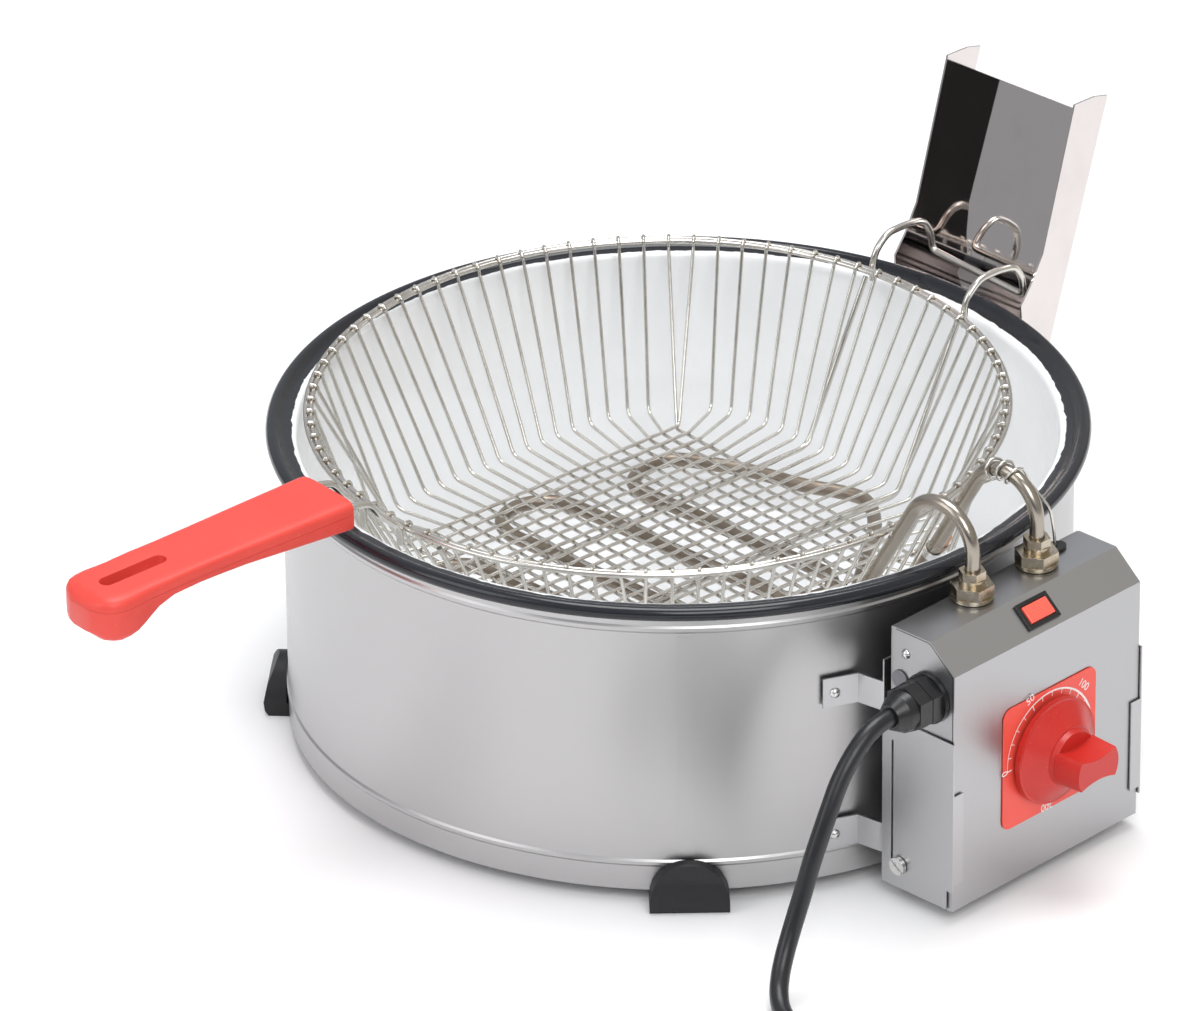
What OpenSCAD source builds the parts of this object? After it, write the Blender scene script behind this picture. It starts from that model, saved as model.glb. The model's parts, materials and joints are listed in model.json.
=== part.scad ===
// Deep fryer with a round steel casing, an enamelled pan, a lift-out
// electric head and a wire frying basket. Millimetres, +Z up.
// Origin: on the table, on the vertical axis of the pan.
// +X points to the basket hanger, -X to the basket handle, -Y to the head.

/* [Casing] */
// Outer radius of the round casing
casing_r = 211.2; // [205:0.1:211.5]
// Thickness of the casing sheet
casing_wall = 0.8; // [0.6:0.1:1.2]
// Height of the rubber feet
foot_h = 27; // [24:1:32]
// Width of one rubber foot
foot_w = 42; // [38:1:46]

/* [Pan] */
// Radius of the pan's inner wall at the top
pan_r = 203; // [202:0.5:203]
// Height of the pan's bottom above the table
pan_bottom_z = 18; // [14:1:26]
// Thickness of the enamelled sheet
pan_wall = 1.2; // [1:0.1:1.4]

/* [Heating element] */
// Diameter of the sheathed tube
tube_d = 8; // [6:0.5:8]
// Height of the flat loops
loop_z = 75.5; // [68:0.5:75.5]
// Half distance between the two legs
leg_half = 25; // [24:0.5:27]

/* [Head] */
// Width of the control box
box_w = 144.2; // [140:0.1:144.4]
// Diameter of the knob's skirt
knob_d = 59; // [50:1:62]
// Height of the knob axis
knob_z = 76.5; // [74:0.5:79]

/* [Basket] */
// Radius of the outer rim wire
rim_r = 188; // [187:0.2:188]
// Diameter of the rim wires
rim_wire = 2.8; // [2.4:0.1:3]
// Diameter of the side and mesh wires
fine_wire = 2; // [1.6:0.1:2]
// Side wires on each of the four sides
wires_per_side = 21; // [15:2:21]
// Diameter of the hook and the handle tangs
hook_wire = 4; // [3:0.2:4]

/* [Cord] */
// Diameter of the power cord
cord_d = 10; // [8:0.5:10]

/* [Hidden] */
steel = [0.72, 0.72, 0.71];
dark = [0.08, 0.08, 0.09];
coral = [0.9, 0.3, 0.27];
nickel = [0.75, 0.7, 0.58];
white = [0.9, 0.93, 0.95];
// sheet edges and levels
casing_z0 = 8;
casing_z1 = 172.7;
leg_x = 3;
nut_y = -230.9;
box_x = -0.4;
box_y0 = -264.6;
box_y1 = -220.5;
box_z0 = 7.8;
box_z1 = 161;
// where the feet stand around the casing
rear_left_turn = 130;
foot_turns = [45, rear_left_turn, 225, 315];
// rivets of the box, the cradle and the hanger
box_rivet_z = 148;
cradle_rivet_turn = 24.2;
hanger_rivet_turn = 14.9;
// how steeply the legs of the element run down into the pan
leg_slope = 1.709;
leg_mid_y = -150;
leg_mid_z = 129.6;
knob_x = 0.7;
// cable gland axis
gland_y = -247.5;
gland_z = 129;
// route of the cord from inside the gland to the coil on the table
cord_route = [[-64, -247.5, 129], [-76, -247.5, 129], [-88, -247.5, 129],
  [-98, -247.5, 129], [-106, -247.5, 129], [-115, -247.5, 127.5],
  [-124, -247.5, 123], [-133, -247.5, 115.5], [-141, -247.5, 106],
  [-148, -248, 95], [-155, -248, 82], [-162, -248, 68], [-168, -248, 54],
  [-174, -248, 41], [-180, -248.5, 30], [-186.5, -250, 20],
  [-193, -253, 12], [-199, -258, 6.8], [-205, -265, 5.2],
  [-209, -274, 5.2], [-212, -285, 5.2], [-214, -298, 5.2],
  [-215, -311, 5.2], [-215, -324, 5.2]];
coil_x = -280;
coil_y = -332;
coil_r = 55;
tail_route = [[-340, -334, 15.2], [-340, -322, 15.2], [-340, -312, 15.2],
  [-340, -302, 15.2], [-340, -292, 15], [-340, -282, 13.6],
  [-340, -272, 11.6], [-340, -262, 9.8], [-340, -254, 9]];
// basket frame: its middle at rim height, tilt and turn
basket_at = [1.7, 16.8, 179.5];
basket_tilt = [0.59, -1.49, 0];
basket_turn = -5.3;
mesh_half = 96;
mesh_step = 9.6;
mesh_z = -89;
inner_rim_r = rim_r - rim_wire - 0.1;
wall_top_r = inner_rim_r - rim_wire / 2 - fine_wire / 2 - 0.05;
half_n = (wires_per_side - 1) / 2;
side_step = 90 / wires_per_side;
rod_d = 3;

// ---- helpers -------------------------------------------------------
function unit(v) = v / norm(v);
function tangent(p, i) =
  unit(p[min(i + 1, len(p) - 1)] - p[max(i - 1, 0)]);
function start_normal(t) =
  abs(t[2]) > 0.8 ? unit(cross(t, [0, 1, 0])) : unit(cross(t, [0, 0, 1]));
function lean(n, t) = unit(n - t * (n * t));
function carried(p) =
  [for (i = 0, n = start_normal(tangent(p, 0));
        i < len(p);
        i = i + 1, n = lean(n, tangent(p, min(i, len(p) - 1)))) n];
// cut every corner of a path by a smooth curve that starts d before it
function corner(a, b, c, d, n) =
  let (da = min(d, norm(a - b) * 0.48), dc = min(d, norm(c - b) * 0.48),
       s = b + unit(a - b) * da, e = b + unit(c - b) * dc)
  [for (k = [0:n]) let (t = k / n)
     s * (1 - t) * (1 - t) + b * 2 * t * (1 - t) + e * t * t];
function smooth_path(p, d, n) =
  concat([p[0]],
         [for (i = [1:len(p) - 2])
            each corner(p[i - 1], p[i], p[i + 1], d, n)],
         [p[len(p) - 1]]);
function arc_yz(x, cy, cz, r, a0, a1, n) =
  [for (k = [0:n]) let (a = a0 + (a1 - a0) * k / n)
     [x, cy + r * cos(a), cz + r * sin(a)]];
function arc_xy(cx, cy, z, r, a0, a1, n) =
  [for (k = [0:n]) let (a = a0 + (a1 - a0) * k / n)
     [cx + r * cos(a), cy + r * sin(a), z]];
function flip_x(p) = [for (i = [len(p) - 1:-1:0]) [-p[i][0], p[i][1], p[i][2]]];
function shift(p, v) = [for (q = p) q + v];

// a round bar along a path
module bar(p, d, sides = 10) {
  n = carried(p);
  c = len(p);
  pts = [for (i = [0:c - 1]) let (t = tangent(p, i), u = n[i], w = cross(t, u))
    each [for (k = [0:sides - 1]) let (a = 360 * k / sides)
      p[i] + (u * cos(a) + w * sin(a)) * d / 2]];
  rings = [for (i = [0:c - 2]) each [for (k = [0:sides - 1])
    let (m = (k + 1) % sides)
    [i * sides + k, (i + 1) * sides + k, (i + 1) * sides + m, i * sides + m]]];
  start = [[for (k = [0:sides - 1]) k]];
  stop = [[for (k = [sides - 1:-1:0]) (c - 1) * sides + k]];
  polyhedron(points = pts, faces = concat(rings, start, stop), convexity = 8);
}
module hex(across, h) {
  cylinder(r = across / sqrt(3), h = h, $fn = 6);
}
module in_basket() {
  translate(basket_at)
    rotate(basket_tilt)
      rotate([0, 0, basket_turn])
        children();
}
module disc_at(r, z0, z1) {
  translate([0, 0, z0])
    cylinder(r = r, h = z1 - z0, $fn = 96);
}

// ---- casing --------------------------------------------------------
module casing_shell() {
  ro = casing_r;
  ri = casing_r - casing_wall;
  color(steel)
    difference() {
      union() {
        rotate_extrude($fn = 120)
          polygon([[ri - 11, casing_z0], [ro, casing_z0], [ro, 22],
            [ro + 0.9, 23.2], [ro + 0.9, 25], [ro, 26.2], [ro, 160],
            [ro + 0.8, 161.2], [ro + 0.8, 163.2], [ro, 164.4],
            [ro, casing_z1], [ri, casing_z1], [ri, 164.6],
            [ri + 0.8, 163.2], [ri + 0.8, 161.2], [ri, 159.8], [ri, 26.4],
            [ri + 0.9, 25], [ri + 0.9, 23.2], [ri, 21.8],
            [ri, casing_z0 + casing_wall], [ri - 11, casing_z0 + casing_wall]]);
        rotate([0, 0, -136.6])
          rotate_extrude(angle = 2.4, $fn = 120)
            polygon([[ro - 0.3, 28], [ro + 0.5, 28], [ro + 0.5, 158],
              [ro - 0.3, 158]]);
      }
      for (a = foot_turns)
        rotate([0, 0, a])
          translate([204.5, 0, 5])
            cylinder(r = 2.4, h = 6, $fn = 24);
      for (s = [-1, 1])
        for (z = [34, 118])
          rotate([0, 0, -90 + s * cradle_rivet_turn])
            translate([ri - 4, 0, z])
              rotate([0, 90, 0])
                cylinder(r = 1.9, h = 10, $fn = 20);
      for (s = [-1, 1])
        for (z = [108, 138])
          rotate([0, 0, s * hanger_rivet_turn])
            translate([ri - 4, 0, z])
              rotate([0, 90, 0])
                cylinder(r = 1.9, h = 10, $fn = 20);
    }
}
module casing_floor() {
  color(steel)
    difference() {
      disc_at(casing_r - casing_wall - 0.4, 9.1, 9.9);
      for (a = foot_turns)
        rotate([0, 0, a])
          translate([204.5, 0, 5])
            cylinder(r = 2.4, h = 8, $fn = 24);
      for (a = [0:60:359])
        rotate([0, 0, a])
          translate([90, 0, 5])
            cylinder(r = 6, h = 8, $fn = 32);
    }
}
module foot(a) {
  color(dark)
    rotate([0, 0, a])
      difference() {
        intersection() {
          union() {
            translate([180, 0, foot_h - foot_w / 2])
              rotate([0, 90, 0])
                cylinder(r = foot_w / 2, h = 60, $fn = 64);
            translate([180, -foot_w / 2, 0])
              cube([60, foot_w, foot_h - foot_w / 2]);
          }
          rotate([90, 0, 0])
            translate([0, 0, -30])
              linear_extrude(height = 60)
                polygon([[191, 0], [221.4, 0], [223.4, 3], [224, 8],
                  [222, 17], [218, foot_h - 1], [217, foot_h],
                  [205, foot_h], [205, 20], [191, 7.6]]);
        }
        disc_at(casing_r + 1.15, 7.7, 60);
        translate([204.5, 0, -1])
          cylinder(r = 5.2, h = 4.2, $fn = 32);
        translate([204.5, 0, -1])
          cylinder(r = 2.3, h = 12, $fn = 24);
      }
}
module foot_front_left() {
  foot(225);
}
module foot_front_right() {
  foot(315);
}
module foot_rear_left() {
  foot(rear_left_turn);
}
module foot_rear_right() {
  foot(45);
}
module foot_screws() {
  color(nickel)
    for (a = foot_turns)
      rotate([0, 0, a])
        translate([204.5, 0, 0])
          difference() {
            union() {
              translate([0, 0, 0.9])
                cylinder(r = 4.4, h = 2, $fn = 32);
              translate([0, 0, 2.8])
                cylinder(r = 2, h = 11, $fn = 24);
            }
            translate([-0.6, -6, 0.4])
              cube([1.2, 12, 1.4]);
          }
}

// ---- cradle that holds the head ------------------------------------
module cradle_tab(z0, z1) {
  translate([0, 0, z0])
    linear_extrude(height = z1 - z0)
      polygon([[-74, -217.2], [-73, -216.4], [-75.2, -200.2], [-93.4, -191.7],
        [-93.9, -192.7], [-76.3, -201], [-74.6, -214]]);
}
module cradle_side() {
  difference() {
    union() {
      translate([-74, -265.9, 9])
        cube([1, 49.7, 99]);
      translate([-74, -265.9, 24])
        cube([8, 0.9, 53]);
      translate([-74, -217.2, 10])
        cube([14, 1, 130]);
      cradle_tab(26, 43);
      cradle_tab(110, 127);
    }
    translate([-76, -224, 24])
      cube([4, 1.4, 71]);
    translate([-76, -229, 23])
      rotate([0, 90, 0])
        cylinder(r = 2.3, h = 4, $fn = 24);
    translate([-75, -266.5, 8])
      cube([2.6, 5, 12]);
  }
}
module cradle_bracket() {
  color(steel)
    difference() {
      union() {
        cradle_side();
        translate([-0.8, 0, 0])
          mirror([1, 0, 0])
            cradle_side();
        translate([-62, -217.2, 10])
          cube([124, 1, 98]);
      }
      translate([-40, -218, 40])
        cube([80, 3, 40]);
      for (s = [-1, 1])
        for (z = [34, 118])
          rotate([0, 0, -90 + s * cradle_rivet_turn])
            translate([208, 0, z])
              rotate([0, 90, 0])
                cylinder(r = 1.9, h = 12, $fn = 20);
    }
}
module cradle_screw() {
  translate([-74.3, -229, 23])
    rotate([0, 90, 0])
      difference() {
        union() {
          translate([0, 0, -2.6])
            cylinder(r = 5, h = 2.5, $fn = 32);
          translate([0, 0, -0.2])
            cylinder(r = 2, h = 6.2, $fn = 24);
        }
        rotate([0, 0, 35])
          translate([-0.6, -7, -3])
            cube([1.2, 14, 1.2]);
      }
}
module cradle_screws() {
  color(nickel) {
    cradle_screw();
    translate([-0.8, 0, 0])
      mirror([1, 0, 0])
        cradle_screw();
  }
}
module rivet(head, shank, grip) {
  // head outwards along +Z, shank inwards, upset end inside
  difference() {
    translate([0, 0, -head * 0.35])
      sphere(r = head, $fn = 32);
    translate([-20, -20, -40])
      cube([40, 40, 40]);
  }
  translate([0, 0, -grip - 0.2])
    cylinder(r = shank, h = grip + 0.4, $fn = 20);
  translate([0, 0, -grip - 1.2])
    cylinder(r = shank + 1.2, h = 1.1, $fn = 20);
}
module cradle_rivets() {
  color(steel)
    for (s = [-1, 1])
      for (z = [34, 118])
        rotate([0, 0, -90 + s * cradle_rivet_turn])
          translate([214.45, 0, z])
            rotate([0, 90, 0])
              rivet(3.2, 1.6, 4.45);
}

// ---- basket hanger --------------------------------------------------
module hanger_flange() {
  rotate([90, 0, 0])
    linear_extrude(height = 1.2)
      polygon([[262.8, 285], [279.3, 284.3], [289.6, 281.6], [245.4, 148.8],
        [226.2, 91], [209.5, 91], [209.5, 158], [222, 166], [221, 178],
        [229, 188], [238.6, 204]]);
}
module hanger_plate() {
  color([0.8, 0.8, 0.8])
    difference() {
      union() {
        translate([0, -45.8, 0])
          hanger_flange();
        translate([0, 47, 0])
          hanger_flange();
        rotate([90, 0, 0])
          translate([0, 0, -46.6])
            linear_extrude(height = 93.2)
              polygon([[285.3, 268.7], [245.4, 148.8], [226.2, 91],
                [224.9, 91.4], [244.1, 149.2], [284, 269.1]]);
        for (s = [-1, 1])
          translate([0, 0, 96])
            linear_extrude(height = 56)
              polygon([[209.3, s * 46.2], [207.6, s * 46.2],
                [202.6, s * 64], [203.8, s * 64.4], [209.9, s * 46.6]]);
      }
      for (s = [-1, 1])
        for (z = [108, 138])
          rotate([0, 0, s * hanger_rivet_turn])
            translate([200, 0, z])
              rotate([0, 90, 0])
                cylinder(r = 1.9, h = 20, $fn = 20);
    }
}
module hanger_rivets() {
  color(steel)
    for (s = [-1, 1])
      for (z = [108, 138])
        rotate([0, 0, s * hanger_rivet_turn])
          translate([214.5, 0, z])
            rotate([0, 90, 0])
              rivet(3.2, 1.6, 4.5);
}

// ---- pan ------------------------------------------------------------
module frying_pan() {
  w = pan_wall;
  b = pan_bottom_z;
  c = 24;
  rb = pan_r - 3;
  color(white)
    rotate_extrude($fn = 120)
      union() {
        translate([216.2, 174.2])
          circle(r = 3.8, $fn = 32);
        polygon(concat(
          [[0, b], [rb - c, b]],
          [for (a = [-75:15:0]) [rb - c + (c + w) * cos(a),
             b + w + c + (c + w) * sin(a)]],
          [[pan_r + w, 171.8], [213.4, 173.2], [213.4, 175.2],
           [209, 174.4], [204.5, 174.6], [pan_r, 173.4]],
          [for (a = [0:-15:-90]) [rb - c + c * cos(a),
             b + w + c + c * sin(a)]],
          [[0, b + w]]));
      }
}

// ---- control box ----------------------------------------------------
module box_profile(g, back) {
  // side view of the box, g inside its outer skin
  polygon([[back, box_z0 - (g > 0 ? 5 : 0)], [back, box_z1 - g],
    [-247.6 + g * 0.4, box_z1 - g], [box_y0 + g, 146.3 - g * 0.4],
    [box_y0 + g, box_z0 - (g > 0 ? 5 : 0)]]);
}
module box_prism(w, g, back) {
  translate([box_x - w / 2, 0, 0])
    rotate([90, 0, 90])
      linear_extrude(height = w)
        box_profile(g, back);
}
module on_bevel() {
  translate([0, -256.1, 153.65])
    rotate([40.85, 0, 0])
      children();
}
module box_cover() {
  color(steel)
    difference() {
      box_prism(box_w, 0, box_y1 - 1.3);
      box_prism(box_w - 2, 1, -210);
      for (s = [-1, 1])
        translate([leg_x + s * leg_half, nut_y, 150])
          cylinder(r = 6.4, h = 20, $fn = 40);
      translate([47.6, -226.3, 150])
        scale([1.5, 1, 1])
          cylinder(r = 3.6, h = 20, $fn = 32);
      on_bevel()
        translate([-10.8, -6.6, -6])
          cube([21.6, 13.2, 12]);
      translate([knob_x, box_y0 + 5, knob_z])
        rotate([90, 0, 0])
          cylinder(r = 6, h = 12, $fn = 40);
      for (s = [-1, 1])
        translate([knob_x + s * 14, box_y0 + 5, knob_z])
          rotate([90, 0, 0])
            cylinder(r = 2.3, h = 12, $fn = 24);
      translate([box_x - box_w / 2 - 4, gland_y, gland_z])
        rotate([0, 90, 0])
          cylinder(r = 8.4, h = 8, $fn = 48);
      translate([box_x - box_w / 2 - 4, -227.3, 132])
        rotate([0, 90, 0])
          cylinder(r = 4.2, h = 8, $fn = 32);
      translate([box_x - box_w / 2 - 4, -231, box_rivet_z])
        rotate([0, 90, 0])
          cylinder(r = 1.9, h = box_w + 8, $fn = 20);
      translate([box_x - box_w / 2 - 4, -231.7, 0])
        cube([box_w + 8, 5.4, 25.7]);
    }
}
module chassis_ear(s) {
  translate([box_x + s * (box_w / 2 - 1.3) - (s > 0 ? 1 : 0), -240, 142])
    cube([1, 19, 16]);
}
module box_chassis() {
  color(steel)
    difference() {
      union() {
        translate([box_x - 71.9, box_y1 - 1, 9])
          cube([143.8, 1, 151.6]);
        translate([box_x - 70.8, -263, 9])
          cube([141.6, 41.8, 1]);
        chassis_ear(-1);
        chassis_ear(1);
      }
      translate([box_x - box_w / 2 - 4, -231, box_rivet_z])
        rotate([0, 90, 0])
          cylinder(r = 1.9, h = box_w + 8, $fn = 20);
      for (x = [-45:15:45])
        translate([x, -245, 5])
          cylinder(r = 3, h = 8, $fn = 24);
    }
}
module box_rivets() {
  color(nickel)
    for (s = [-1, 1])
      translate([box_x + s * (box_w / 2 + 0.1), -231, box_rivet_z])
        rotate([0, s * 90, 0])
          rivet(3, 1.6, 2.6);
}
module hole_plug() {
  color([0.45, 0.45, 0.45])
    translate([box_x - box_w / 2 - 0.2, -227.3, 132])
      rotate([0, 90, 0]) {
        translate([0, 0, -1.2])
          cylinder(r = 5.2, h = 1.2, $fn = 32);
        translate([0, 0, -0.2])
          cylinder(r = 3.8, h = 4, $fn = 32);
      }
}
module dial_plate() {
  color(coral)
    difference() {
      translate([1, box_y0 - 0.1, 75.75])
        rotate([90, 0, 0])
          linear_extrude(height = 0.8)
            union() {
              square([60, 71.5], center = true);
              square([72, 59.5], center = true);
              for (i = [-1, 1])
                for (j = [-1, 1])
                  translate([i * 30, j * 29.75])
                    circle(r = 6, $fn = 32);
            }
      translate([knob_x, box_y0 + 5, knob_z])
        rotate([90, 0, 0])
          cylinder(r = 6, h = 12, $fn = 40);
      for (s = [-1, 1])
        translate([knob_x + s * 14, box_y0 + 5, knob_z])
          rotate([90, 0, 0])
            cylinder(r = 4.2, h = 12, $fn = 24);
    }
}
module pilot_bezel() {
  color(dark)
    on_bevel()
      difference() {
        union() {
          translate([-12, -7.75, 0.2])
            cube([24, 15.5, 1.5]);
          translate([-10.4, -6.2, -14])
            cube([20.8, 12.4, 15]);
        }
        translate([-9.4, -5.2, -12.6])
          cube([18.8, 10.4, 20]);
        for (s = [-1, 1])
          translate([s * 5 - 1.8, -0.8, -20])
            cube([3.6, 1.6, 12]);
      }
}
module pilot_lens() {
  color([0.95, 0.2, 0.15])
    on_bevel()
      difference() {
        translate([-9.1, -4.9, -6])
          cube([18.2, 9.8, 8.6]);
        translate([-7.9, -3.7, -7])
          cube([15.8, 7.4, 8]);
      }
}
module pilot_terminals() {
  color(nickel)
    on_bevel()
      for (s = [-1, 1])
        translate([s * 5 - 1.5, -0.4, -19])
          cube([3, 0.8, 11]);
}
module thermostat_body() {
  color([0.85, 0.83, 0.76])
    translate([knob_x, box_y0 + 1.3, knob_z])
      rotate([-90, 0, 0])
        difference() {
          union() {
            translate([-19, -9, 0])
              cube([38, 18, 1.2]);
            translate([0, 0, 1.1])
              cylinder(r = 17, h = 20, $fn = 64);
            translate([-13, -13, 21])
              cube([26, 26, 8]);
          }
          translate([0, 0, -1])
            cylinder(r = 3.08, h = 24, $fn = 32);
          for (s = [-1, 1])
            translate([s * 14, 0, -1])
              cylinder(r = 2.3, h = 8, $fn = 24);
        }
}
module thermostat_screws() {
  color(nickel)
    for (s = [-1, 1])
      translate([knob_x + s * 14, box_y0 - 0.2, knob_z])
        rotate([90, 0, 0])
          difference() {
            union() {
              cylinder(r = 3.6, h = 1.5, $fn = 32);
              translate([0, 0, -7.6])
                cylinder(r = 1.9, h = 7.7, $fn = 24);
            }
            translate([-5, -0.4, 0.8])
              cube([10, 0.8, 2]);
          }
}

// ---- heating element -------------------------------------------------
arch_y = -208.7;
arch_z = 186;
arch_r = 22.2;
arch_end = 30.3;
function half_tube() =
  let (z = loop_z,
       rise = [[leg_half, nut_y, 146], [leg_half, nut_y, 160],
               [leg_half, nut_y, 172]],
       arch = arc_yz(leg_half, arch_y, arch_z, arch_r, 180, arch_end, 14),
       runs = smooth_path([[leg_half, leg_mid_y, leg_mid_z],
         [leg_half, leg_mid_y + (leg_mid_z - z) / leg_slope, z],
         [24, -98, z], [72, -64, z], [121, -30, z], [139, -8, z],
         [137, 8, z], [127, 29, z], [121, 62, z], [110, 88, z],
         [101, 106, z], [80, 108, z], [64, 101, z], [61, 84, z],
         [61, 20, z]], 16, 4),
       turn = arc_xy(42.5, -45, z, 18.5, 0, -180, 12),
       hair = [[24, 0, z], [24, 50, z]],
       nose = arc_xy(0, 103, z, 24, 0, 90, 7))
  concat(rise, arch, runs, turn, hair, nose);
function tube_path() =
  let (h = half_tube())
  shift(concat(h, [for (i = [1:len(h) - 1]) flip_x(h)[i]]), [leg_x, 0, 0]);
module heating_element() {
  color([0.5, 0.45, 0.4])
    bar(tube_path(), tube_d, 12);
}
module at_legs() {
  for (s = [-1, 1])
    translate([leg_x + s * leg_half, nut_y, 0])
      children();
}
module element_fittings() {
  color(nickel)
    at_legs()
      difference() {
        union() {
          translate([0, 0, 146])
            cylinder(r = 6, h = 17, $fn = 40);
          translate([0, 0, 162.6])
            cylinder(r = 11.4, h = 1.5, $fn = 48);
          translate([0, 0, 164])
            hex(20.5, 6);
          translate([0, 0, 170])
            cylinder(r = 6.9, h = 3, $fn = 40);
          translate([0, 0, 173])
            hex(12.7, 4.6);
        }
        translate([0, 0, 140])
          cylinder(r = tube_d / 2 + 0.3, h = 50, $fn = 32);
      }
}
module element_washers() {
  color(nickel)
    at_legs()
      translate([0, 0, 161.2])
        difference() {
          cylinder(r = 10.9, h = 1.2, $fn = 48);
          translate([0, 0, -1])
            cylinder(r = 6.3, h = 4, $fn = 40);
        }
}
module element_locknuts() {
  color(nickel)
    at_legs()
      translate([0, 0, 153.5])
        difference() {
          hex(17, 6);
          translate([0, 0, -1])
            cylinder(r = 6.15, h = 9, $fn = 40);
        }
}
module element_terminals() {
  color(nickel)
    at_legs() {
      translate([0, 0, 137])
        cylinder(r = 1.6, h = 8.8, $fn = 20);
      translate([-3.1, -0.4, 128])
        cube([6.2, 0.8, 9.5]);
    }
}
// ---- thermostat capillary and bulb -----------------------------------
function on_arch(a) = [leg_x + leg_half, arch_y + arch_r * cos(a),
  arch_z + arch_r * sin(a)];
function wrap(a, turn, r) =
  on_arch(a) + [r * sin(turn), r * cos(turn) * cos(a), r * cos(turn) * sin(a)];
function capillary_path() =
  concat(
    smooth_path([[47.6, -226.3, 132], [47.6, -226.3, 166],
      [45, -225, 186], [40, -216, 198], wrap(112, 90, 6.4)], 6, 3),
    [for (k = [1:36]) wrap(112 - k * 50 / 36, 90 - k * 990 / 36, 5.5)],
    smooth_path([[leg_x + leg_half + 7, -186, 190], [35.5, -172, 167.2],
      [35.5, -163.1, 151.9]], 4, 3));
module capillary_tube() {
  color(nickel)
    bar(capillary_path(), 1.6, 8);
}
module capillary_grommet() {
  color(dark)
    translate([47.6, -226.3, 0])
      difference() {
        union() {
          translate([0, 0, 161.2])
            scale([1.4, 1, 1])
              cylinder(r = 5, h = 1.8, $fn = 32);
          translate([0, 0, 157])
            scale([1.5, 1, 1])
              cylinder(r = 3.3, h = 5, $fn = 32);
        }
        translate([0, 0, 150])
          cylinder(r = 1.1, h = 20, $fn = 20);
      }
}
module along_leg(x, y) {
  // local +Z runs up the slanted part of a leg
  translate([x, y, leg_mid_z - (y - leg_mid_y) * leg_slope])
    rotate([atan(1 / leg_slope), 0, 0])
      children();
}
module thermostat_bulb() {
  color([0.72, 0.45, 0.3])
    along_leg(35.5, -137)
      union() {
        cylinder(r = 2.6, h = 50, $fn = 32);
        translate([0, 0, 49.9])
          cylinder(r = 1.4, h = 1.2, $fn = 24);
      }
}
module bulb_clips() {
  color(steel)
    for (d = [8, 38])
      along_leg(leg_x + leg_half, -137)
        translate([0, 0, d])
          difference() {
            hull() {
              cylinder(r = tube_d / 2 + 0.9, h = 5, $fn = 32);
              translate([7.5, 0, 0])
                cylinder(r = 3.7, h = 5, $fn = 32);
            }
            translate([0, 0, -1])
              cylinder(r = tube_d / 2 + 0.3, h = 7, $fn = 32);
            translate([7.5, 0, -1])
              cylinder(r = 2.9, h = 7, $fn = 32);
          }
}

// ---- terminals, gland, cord ------------------------------------------
module terminal_block() {
  color([0.85, 0.83, 0.76])
    difference() {
      translate([-60, -236, 96])
        cube([34, 13, 16]);
      for (i = [0:2])
        translate([-53.5 + i * 10.5, -230, 90]) {
          cylinder(r = 1.9, h = 30, $fn = 20);
          translate([0, 0, 14])
            rotate([90, 0, 0])
              cylinder(r = 1.9, h = 12, $fn = 20);
        }
    }
}
module terminal_screws() {
  color(nickel)
    for (i = [0:2])
      translate([-53.5 + i * 10.5, -236.6, 104])
        rotate([-90, 0, 0])
          cylinder(r = 1.6, h = 3.2, $fn = 20);
}
module on_gland(x) {
  translate([x, gland_y, gland_z])
    rotate([0, -90, 0])
      children();
}
module gland_body() {
  color(dark)
    difference() {
      union() {
        on_gland(-60)
          cylinder(r = 8, h = 14, $fn = 48);
        on_gland(-72.8)
          cylinder(r = 14, h = 2.6, $fn = 64);
        on_gland(-75.3)
          hex(24, 7.4);
        on_gland(-82.6)
          cylinder(r = 9, h = 6, $fn = 48);
      }
      on_gland(-58)
        cylinder(r = cord_d / 2 + 0.3, h = 40, $fn = 40);
    }
}
module gland_locknut() {
  color(dark)
    on_gland(-66)
      difference() {
        hex(21, 4.6);
        translate([0, 0, -1])
          cylinder(r = 8.15, h = 8, $fn = 48);
      }
}
module gland_cap() {
  color(dark)
    on_gland(-83)
      difference() {
        union() {
          hex(23.5, 9);
          translate([0, 0, 8.9])
            cylinder(r1 = 11.4, r2 = 10.4, h = 5, $fn = 48);
          translate([0, 0, 13.8])
            cylinder(r1 = 10.4, r2 = 6.9, h = 6.4, $fn = 48);
        }
        translate([0, 0, -1])
          cylinder(r = 9.3, h = 7.6, $fn = 48);
        translate([0, 0, -1])
          cylinder(r = cord_d / 2 + 0.3, h = 40, $fn = 40);
      }
}
module core_wires() {
  color([0.2, 0.3, 0.6])
    for (i = [0:2])
      bar(smooth_path([[-63.4, -245 - i * 2.5, 129 + (i == 1 ? 1.8 : -1.3)],
        [-56, -245 - i * 2.5, 129 + (i == 1 ? 1.8 : -1.3)],
        [-53.5 + i * 10.5, -230, 130 + i * 3],
        [-53.5 + i * 10.5, -230, 112.6]], 8, 5), 1.9, 8);
}
module power_cord() {
  color(dark)
    bar(cord_route, cord_d, 12);
}
module cord_coil() {
  color(dark)
    translate([coil_x, coil_y, 0.2])
      rotate_extrude($fn = 96)
        polygon([[coil_r - 16, 4], [coil_r - 12, 0], [coil_r + 12, 0],
          [coil_r + 15.4, 4], [coil_r + 15.4, 8], [coil_r + 10.4, 16],
          [coil_r + 7, 20.2], [coil_r - 12, 20.2], [coil_r - 16, 16]]);
}
module cord_tail() {
  color(dark)
    bar(tail_route, cord_d, 12);
}
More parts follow.
